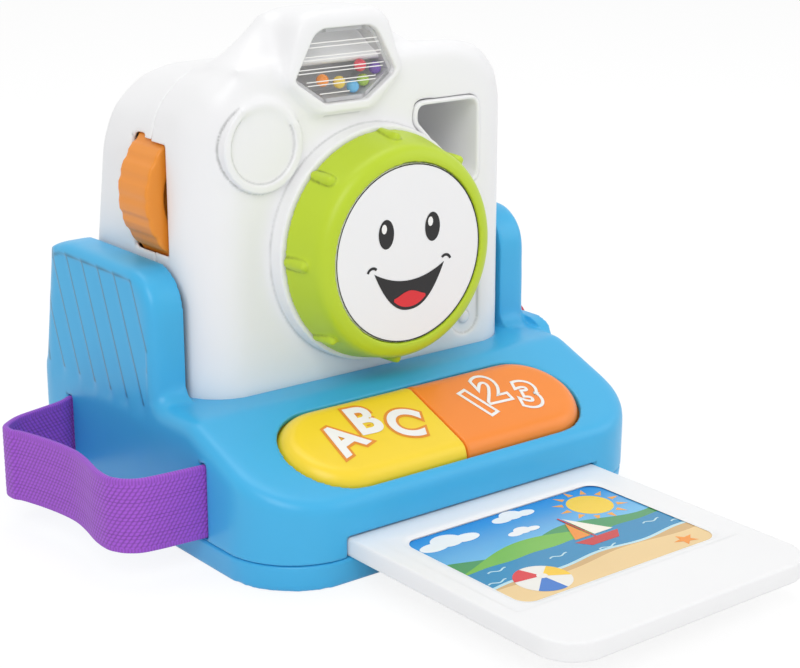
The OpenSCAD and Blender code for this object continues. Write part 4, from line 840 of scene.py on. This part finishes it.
def wavy(level, swing, waves, shift):
    """Points of a wavy line from the picture's left edge to its right edge."""
    xs = np.linspace(-PICTURE_HALF_W, PICTURE_HALF_W, WAVE_POINTS)
    return [(x, level + swing * math.sin(waves * math.pi * x / PICTURE_HALF_W + shift)) for x in xs]


def below(line, low):
    """Narrow quads between a line and a level under it."""
    return [[(a[0], low), (b[0], low), b, a] for a, b in zip(line, line[1:])]


def picture(name, outlines, level, tint):
    """One colour of the picture, in the layer given by its level."""
    film("picture_" + name, outlines, CARD_FACE, level, INKS[tint], "card", lift=PICTURE_LIFT)


SHEET = [(-PICTURE_HALF_W, -PICTURE_HALF_L), (PICTURE_HALF_W, -PICTURE_HALF_L),
         (PICTURE_HALF_W, PICTURE_HALF_L), (-PICTURE_HALF_W, PICTURE_HALF_L)]
picture_sheet = film("picture_sheet", [SHEET], CARD_FACE, 0,
                     sky_print("picture_sky", SKY_LOW, SKY_HIGH), "card")
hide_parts("card_picture")
picture("rays", [[away(SUN_AT, RAY_INNER_R, a - RAY_HALF_TURN), away(SUN_AT, RAY_OUTER_R, a),
                  away(SUN_AT, RAY_INNER_R, a + RAY_HALF_TURN)]
                 for a in np.linspace(0, 2 * math.pi, RAYS + 1)[:-1]], 1, "ray")
picture("sun", [oval(*SUN_AT, SUN_R, SUN_R)], 1, "sun")
for i, (x, y, size) in enumerate(CLOUDS):
    for k, (dx, dy, half_w, half_h) in enumerate(PUFFS):
        puff = oval(x + dx * size, y + dy * size, half_w * size, half_h * size)
        picture("cloud_%d_%d" % (i, k), [puff], 1 + k, "cloud")
picture("far_hills", below(wavy(5.0, 3.2, 1.6, 0.6), -6), 2, "far_hill")
picture("hills", below(wavy(2.0, 5.0, 1.1, 2.4), -6), 4, "hill")
picture("sea", below(wavy(-2.0, 0.25, 5.0, 0.0), -18), 6, "sea")
ripples = []
for x, y in RIPPLES:
    ripples += stroke([(x + t, y + RIPPLE_SWING * math.sin(t * RIPPLE_WAVE)) for t in RIPPLE_STEPS],
                      RIPPLE_PEN)
picture("ripples", ripples, 7, "foam")
picture("foam", below(wavy(-13.2, 0.9, 2.6, 1.0), -19), 8, "foam")
picture("wet_sand", below(wavy(-14.4, 0.9, 2.6, 1.0), -22), 9, "wet_sand")
picture("sand", below(wavy(-16.4, 1.2, 1.8, 0.2), -PICTURE_HALF_L), 10, "sand")
picture("boat_hull", [[(1.5, -4.2), (19, -4.2), (15.4, -8.6), (4.6, -8.6)]], 8, "hull")
picture("boat_mast", stroke([(10, -4.2), (10, 12.6)], MAST_PEN), 8, "hull")
picture("boat_sail", [[(10.8, -2.8), (18.4, -2.8), (10.8, 11.6)]], 9, "sail")
picture("boat_jib", [[(9.2, -2.8), (3.0, -2.8), (9.2, 8.4)]], 9, "flag")
picture("ball", [oval(*BALL_AT, BALL_R, BALL_R)], 12, "ball")
for turn, tint in BALL_SECTORS:
    sector = [BALL_CAP_AT] + oval(*BALL_AT, BALL_R, BALL_R, SECTOR_PARTS, turn, turn + SECTOR_TURN)
    picture(tint, [sector], 13, tint)
picture("ball_cap", [oval(*BALL_CAP_AT, *BALL_CAP_HALF, CAP_PARTS)], 14, "ball")
star = []
for i in range(2 * STAR_TIPS):
    turn, radius = math.pi * i / STAR_TIPS + STAR_TURN, STAR_R[i % 2]
    star.append((STAR_AT[0] + radius * math.cos(turn),
                 STAR_AT[1] + STAR_FLAT * radius * math.sin(turn)))
picture("star", [star], 12, "flag")

# Border from the picture's edge up to the card's top: half widths, half lengths, radii and heights
BORDER_LOOPS = [(38.6, 27.0, 5.0, 0.32), (38.9, 27.3, 5.2, 0.36), (39.5, 27.9, 5.6, 0.62),
                (40.1, 28.5, 6.0, 0.86), (40.8, 29.1, 6.4, 0.95), (44.4, 30.4, 1.6, 0.99)]
CORNER_PARTS = 10


def rounded(half_w, half_l, radius):
    """Points round a rectangle with rounded corners."""
    points = []
    for side_x, side_y, start in ((1, 1, 0), (-1, 1, 90), (-1, -1, 180), (1, -1, 270)):
        points += oval(side_x * (half_w - radius), side_y * (half_l - radius), radius, radius,
                       CORNER_PARTS, start, start + 90)
    return points


def make_border():
    """White border that covers the window's square corners."""
    form = bmesh.new()
    loops = [[form.verts.new((x * MM, y * MM, level * MM))
              for x, y in rounded(half_w, half_l, radius)]
             for half_w, half_l, radius, level in BORDER_LOOPS]
    for inner, outer in zip(loops, loops[1:]):
        for i in range(len(inner)):
            k = (i + 1) % len(inner)
            form.faces.new((inner[i], outer[i], outer[k], inner[k])).smooth = True
    mesh = bpy.data.meshes.new("picture_border")
    form.to_mesh(mesh)
    form.free()
    mesh.transform(CARD_FACE)
    link("picture_border", mesh, WHITE, "card")


make_border()

# Lines printed on the flash window: height, left end and right end
FLASH_LINES = [(152.3, -25.8, 1.3), (151.0, -26.2, 2.1), (148.2, -27.6, 2.9), (147.2, -27.7, 2.8),
               (144.4, -28.4, 3.9), (143.3, -28.7, 3.6), (140.5, -25.7, 0.8), (139.4, -25.3, 0.7),
               (136.6, -20.8, -9.3)]
FLASH_PEN = 0.16
film("flash_lines", [[(left, z - FLASH_PEN), (right, z - FLASH_PEN), (right, z + FLASH_PEN),
                      (left, z + FLASH_PEN)] for z, left, right in FLASH_LINES],
     WINDOW_FACE, 1, INK_WHITE, "camera")

# Stage, light and camera: lamps by place, size and power
TARGET = (0.0, -0.02, 0.06)
LAMPS = {"key": ((-0.75, -0.85, 1.0), 0.9, 6.6), "fill": ((0.9, -0.7, 0.6), 0.9, 2.2),
         "top": ((0.1, 0.3, 1.3), 1.0, 4.6)}
WORLD_LIGHT, WORLD_SEEN = 0.55, 1.0
FLOOR_HALF = 4
FLOOR_DROP = 0.02 * MM
FLOOR_ROUGH = 0.9
FLOOR_GLOW, FLOOR_GLOW_SHARE = 1.06, 0.8


def area_light(name, at, aim, size, power):
    """Round soft lamp that looks at a point."""
    light = bpy.data.lights.new(name, "AREA")
    light.shape = "DISK"
    light.size = size
    light.energy = power
    lamp = bpy.data.objects.new(name, light)
    lamp.location = at
    lamp.rotation_euler = (Vector(aim) - Vector(at)).to_track_quat("-Z", "Y").to_euler()
    bpy.context.scene.collection.objects.link(lamp)


def seen(tree):
    """1 for what the camera sees, also in gloss and through clear plastic, and 0 for light."""
    path = tree.nodes.new("ShaderNodeLightPath")
    value = path.outputs["Is Camera Ray"]
    for ray in ("Is Glossy Ray", "Is Transmission Ray"):
        both = tree.nodes.new("ShaderNodeMath")
        both.operation = "MAXIMUM"
        tree.links.new(value, both.inputs[0])
        tree.links.new(path.outputs[ray], both.inputs[1])
        value = both.outputs[0]
    return value


def white_world():
    """Soft grey light all round; the camera and mirror-like surfaces see white."""
    world = bpy.data.worlds.new("studio")
    bpy.context.scene.world = world
    world.use_nodes = True
    tree = world.node_tree
    background = tree.nodes["Background"]
    background.inputs["Color"].default_value = (1.0, 1.0, 1.0, 1.0)
    strength = add_range(tree, seen(tree), WORLD_LIGHT, WORLD_SEEN)
    tree.links.new(strength, background.inputs["Strength"])


def pale_floor():
    """White floor that takes the part's shadow and glows into the background."""
    corners = [(-FLOOR_HALF, -FLOOR_HALF, 0), (FLOOR_HALF, -FLOOR_HALF, 0),
               (FLOOR_HALF, FLOOR_HALF, 0), (-FLOOR_HALF, FLOOR_HALF, 0)]
    mesh = flat_mesh("floor", [corners])
    floor = bpy.data.objects.new("floor", mesh)
    floor.location.z = -FLOOR_DROP
    bpy.context.scene.collection.objects.link(floor)
    material, tree, shader = new_material("floor_white")
    shader.inputs["Base Color"].default_value = srgb(250, 250, 250)
    shader.inputs["Roughness"].default_value = FLOOR_ROUGH
    shader.inputs["Specular IOR Level"].default_value = 0.0
    glow = tree.nodes.new("ShaderNodeEmission")
    glow.inputs["Strength"].default_value = FLOOR_GLOW
    mix = tree.nodes.new("ShaderNodeMixShader")
    tree.links.new(add_range(tree, seen(tree), 0.0, FLOOR_GLOW_SHARE), mix.inputs["Fac"])
    tree.links.new(shader.outputs["BSDF"], mix.inputs[1])
    tree.links.new(glow.outputs["Emission"], mix.inputs[2])
    tree.links.new(mix.outputs["Shader"], tree.nodes["Material Output"].inputs["Surface"])
    mesh.materials.append(material)


white_world()
pale_floor()
for name, (at, size, power) in LAMPS.items():
    area_light(name, at, TARGET, size, power)

camera_data = bpy.data.cameras.new("photo_camera")
camera_data.lens = CAMERA_LENS
camera_data.sensor_width = SENSOR_WIDTH
camera_data.sensor_fit = "HORIZONTAL"
camera = bpy.data.objects.new("photo_camera", camera_data)
camera.location = CAMERA_AT
camera.rotation_euler = CAMERA_AIM.to_track_quat("-Z", "Y").to_euler()
bpy.context.scene.collection.objects.link(camera)
bpy.context.scene.camera = camera
bpy.context.scene.view_settings.view_transform = "Standard"
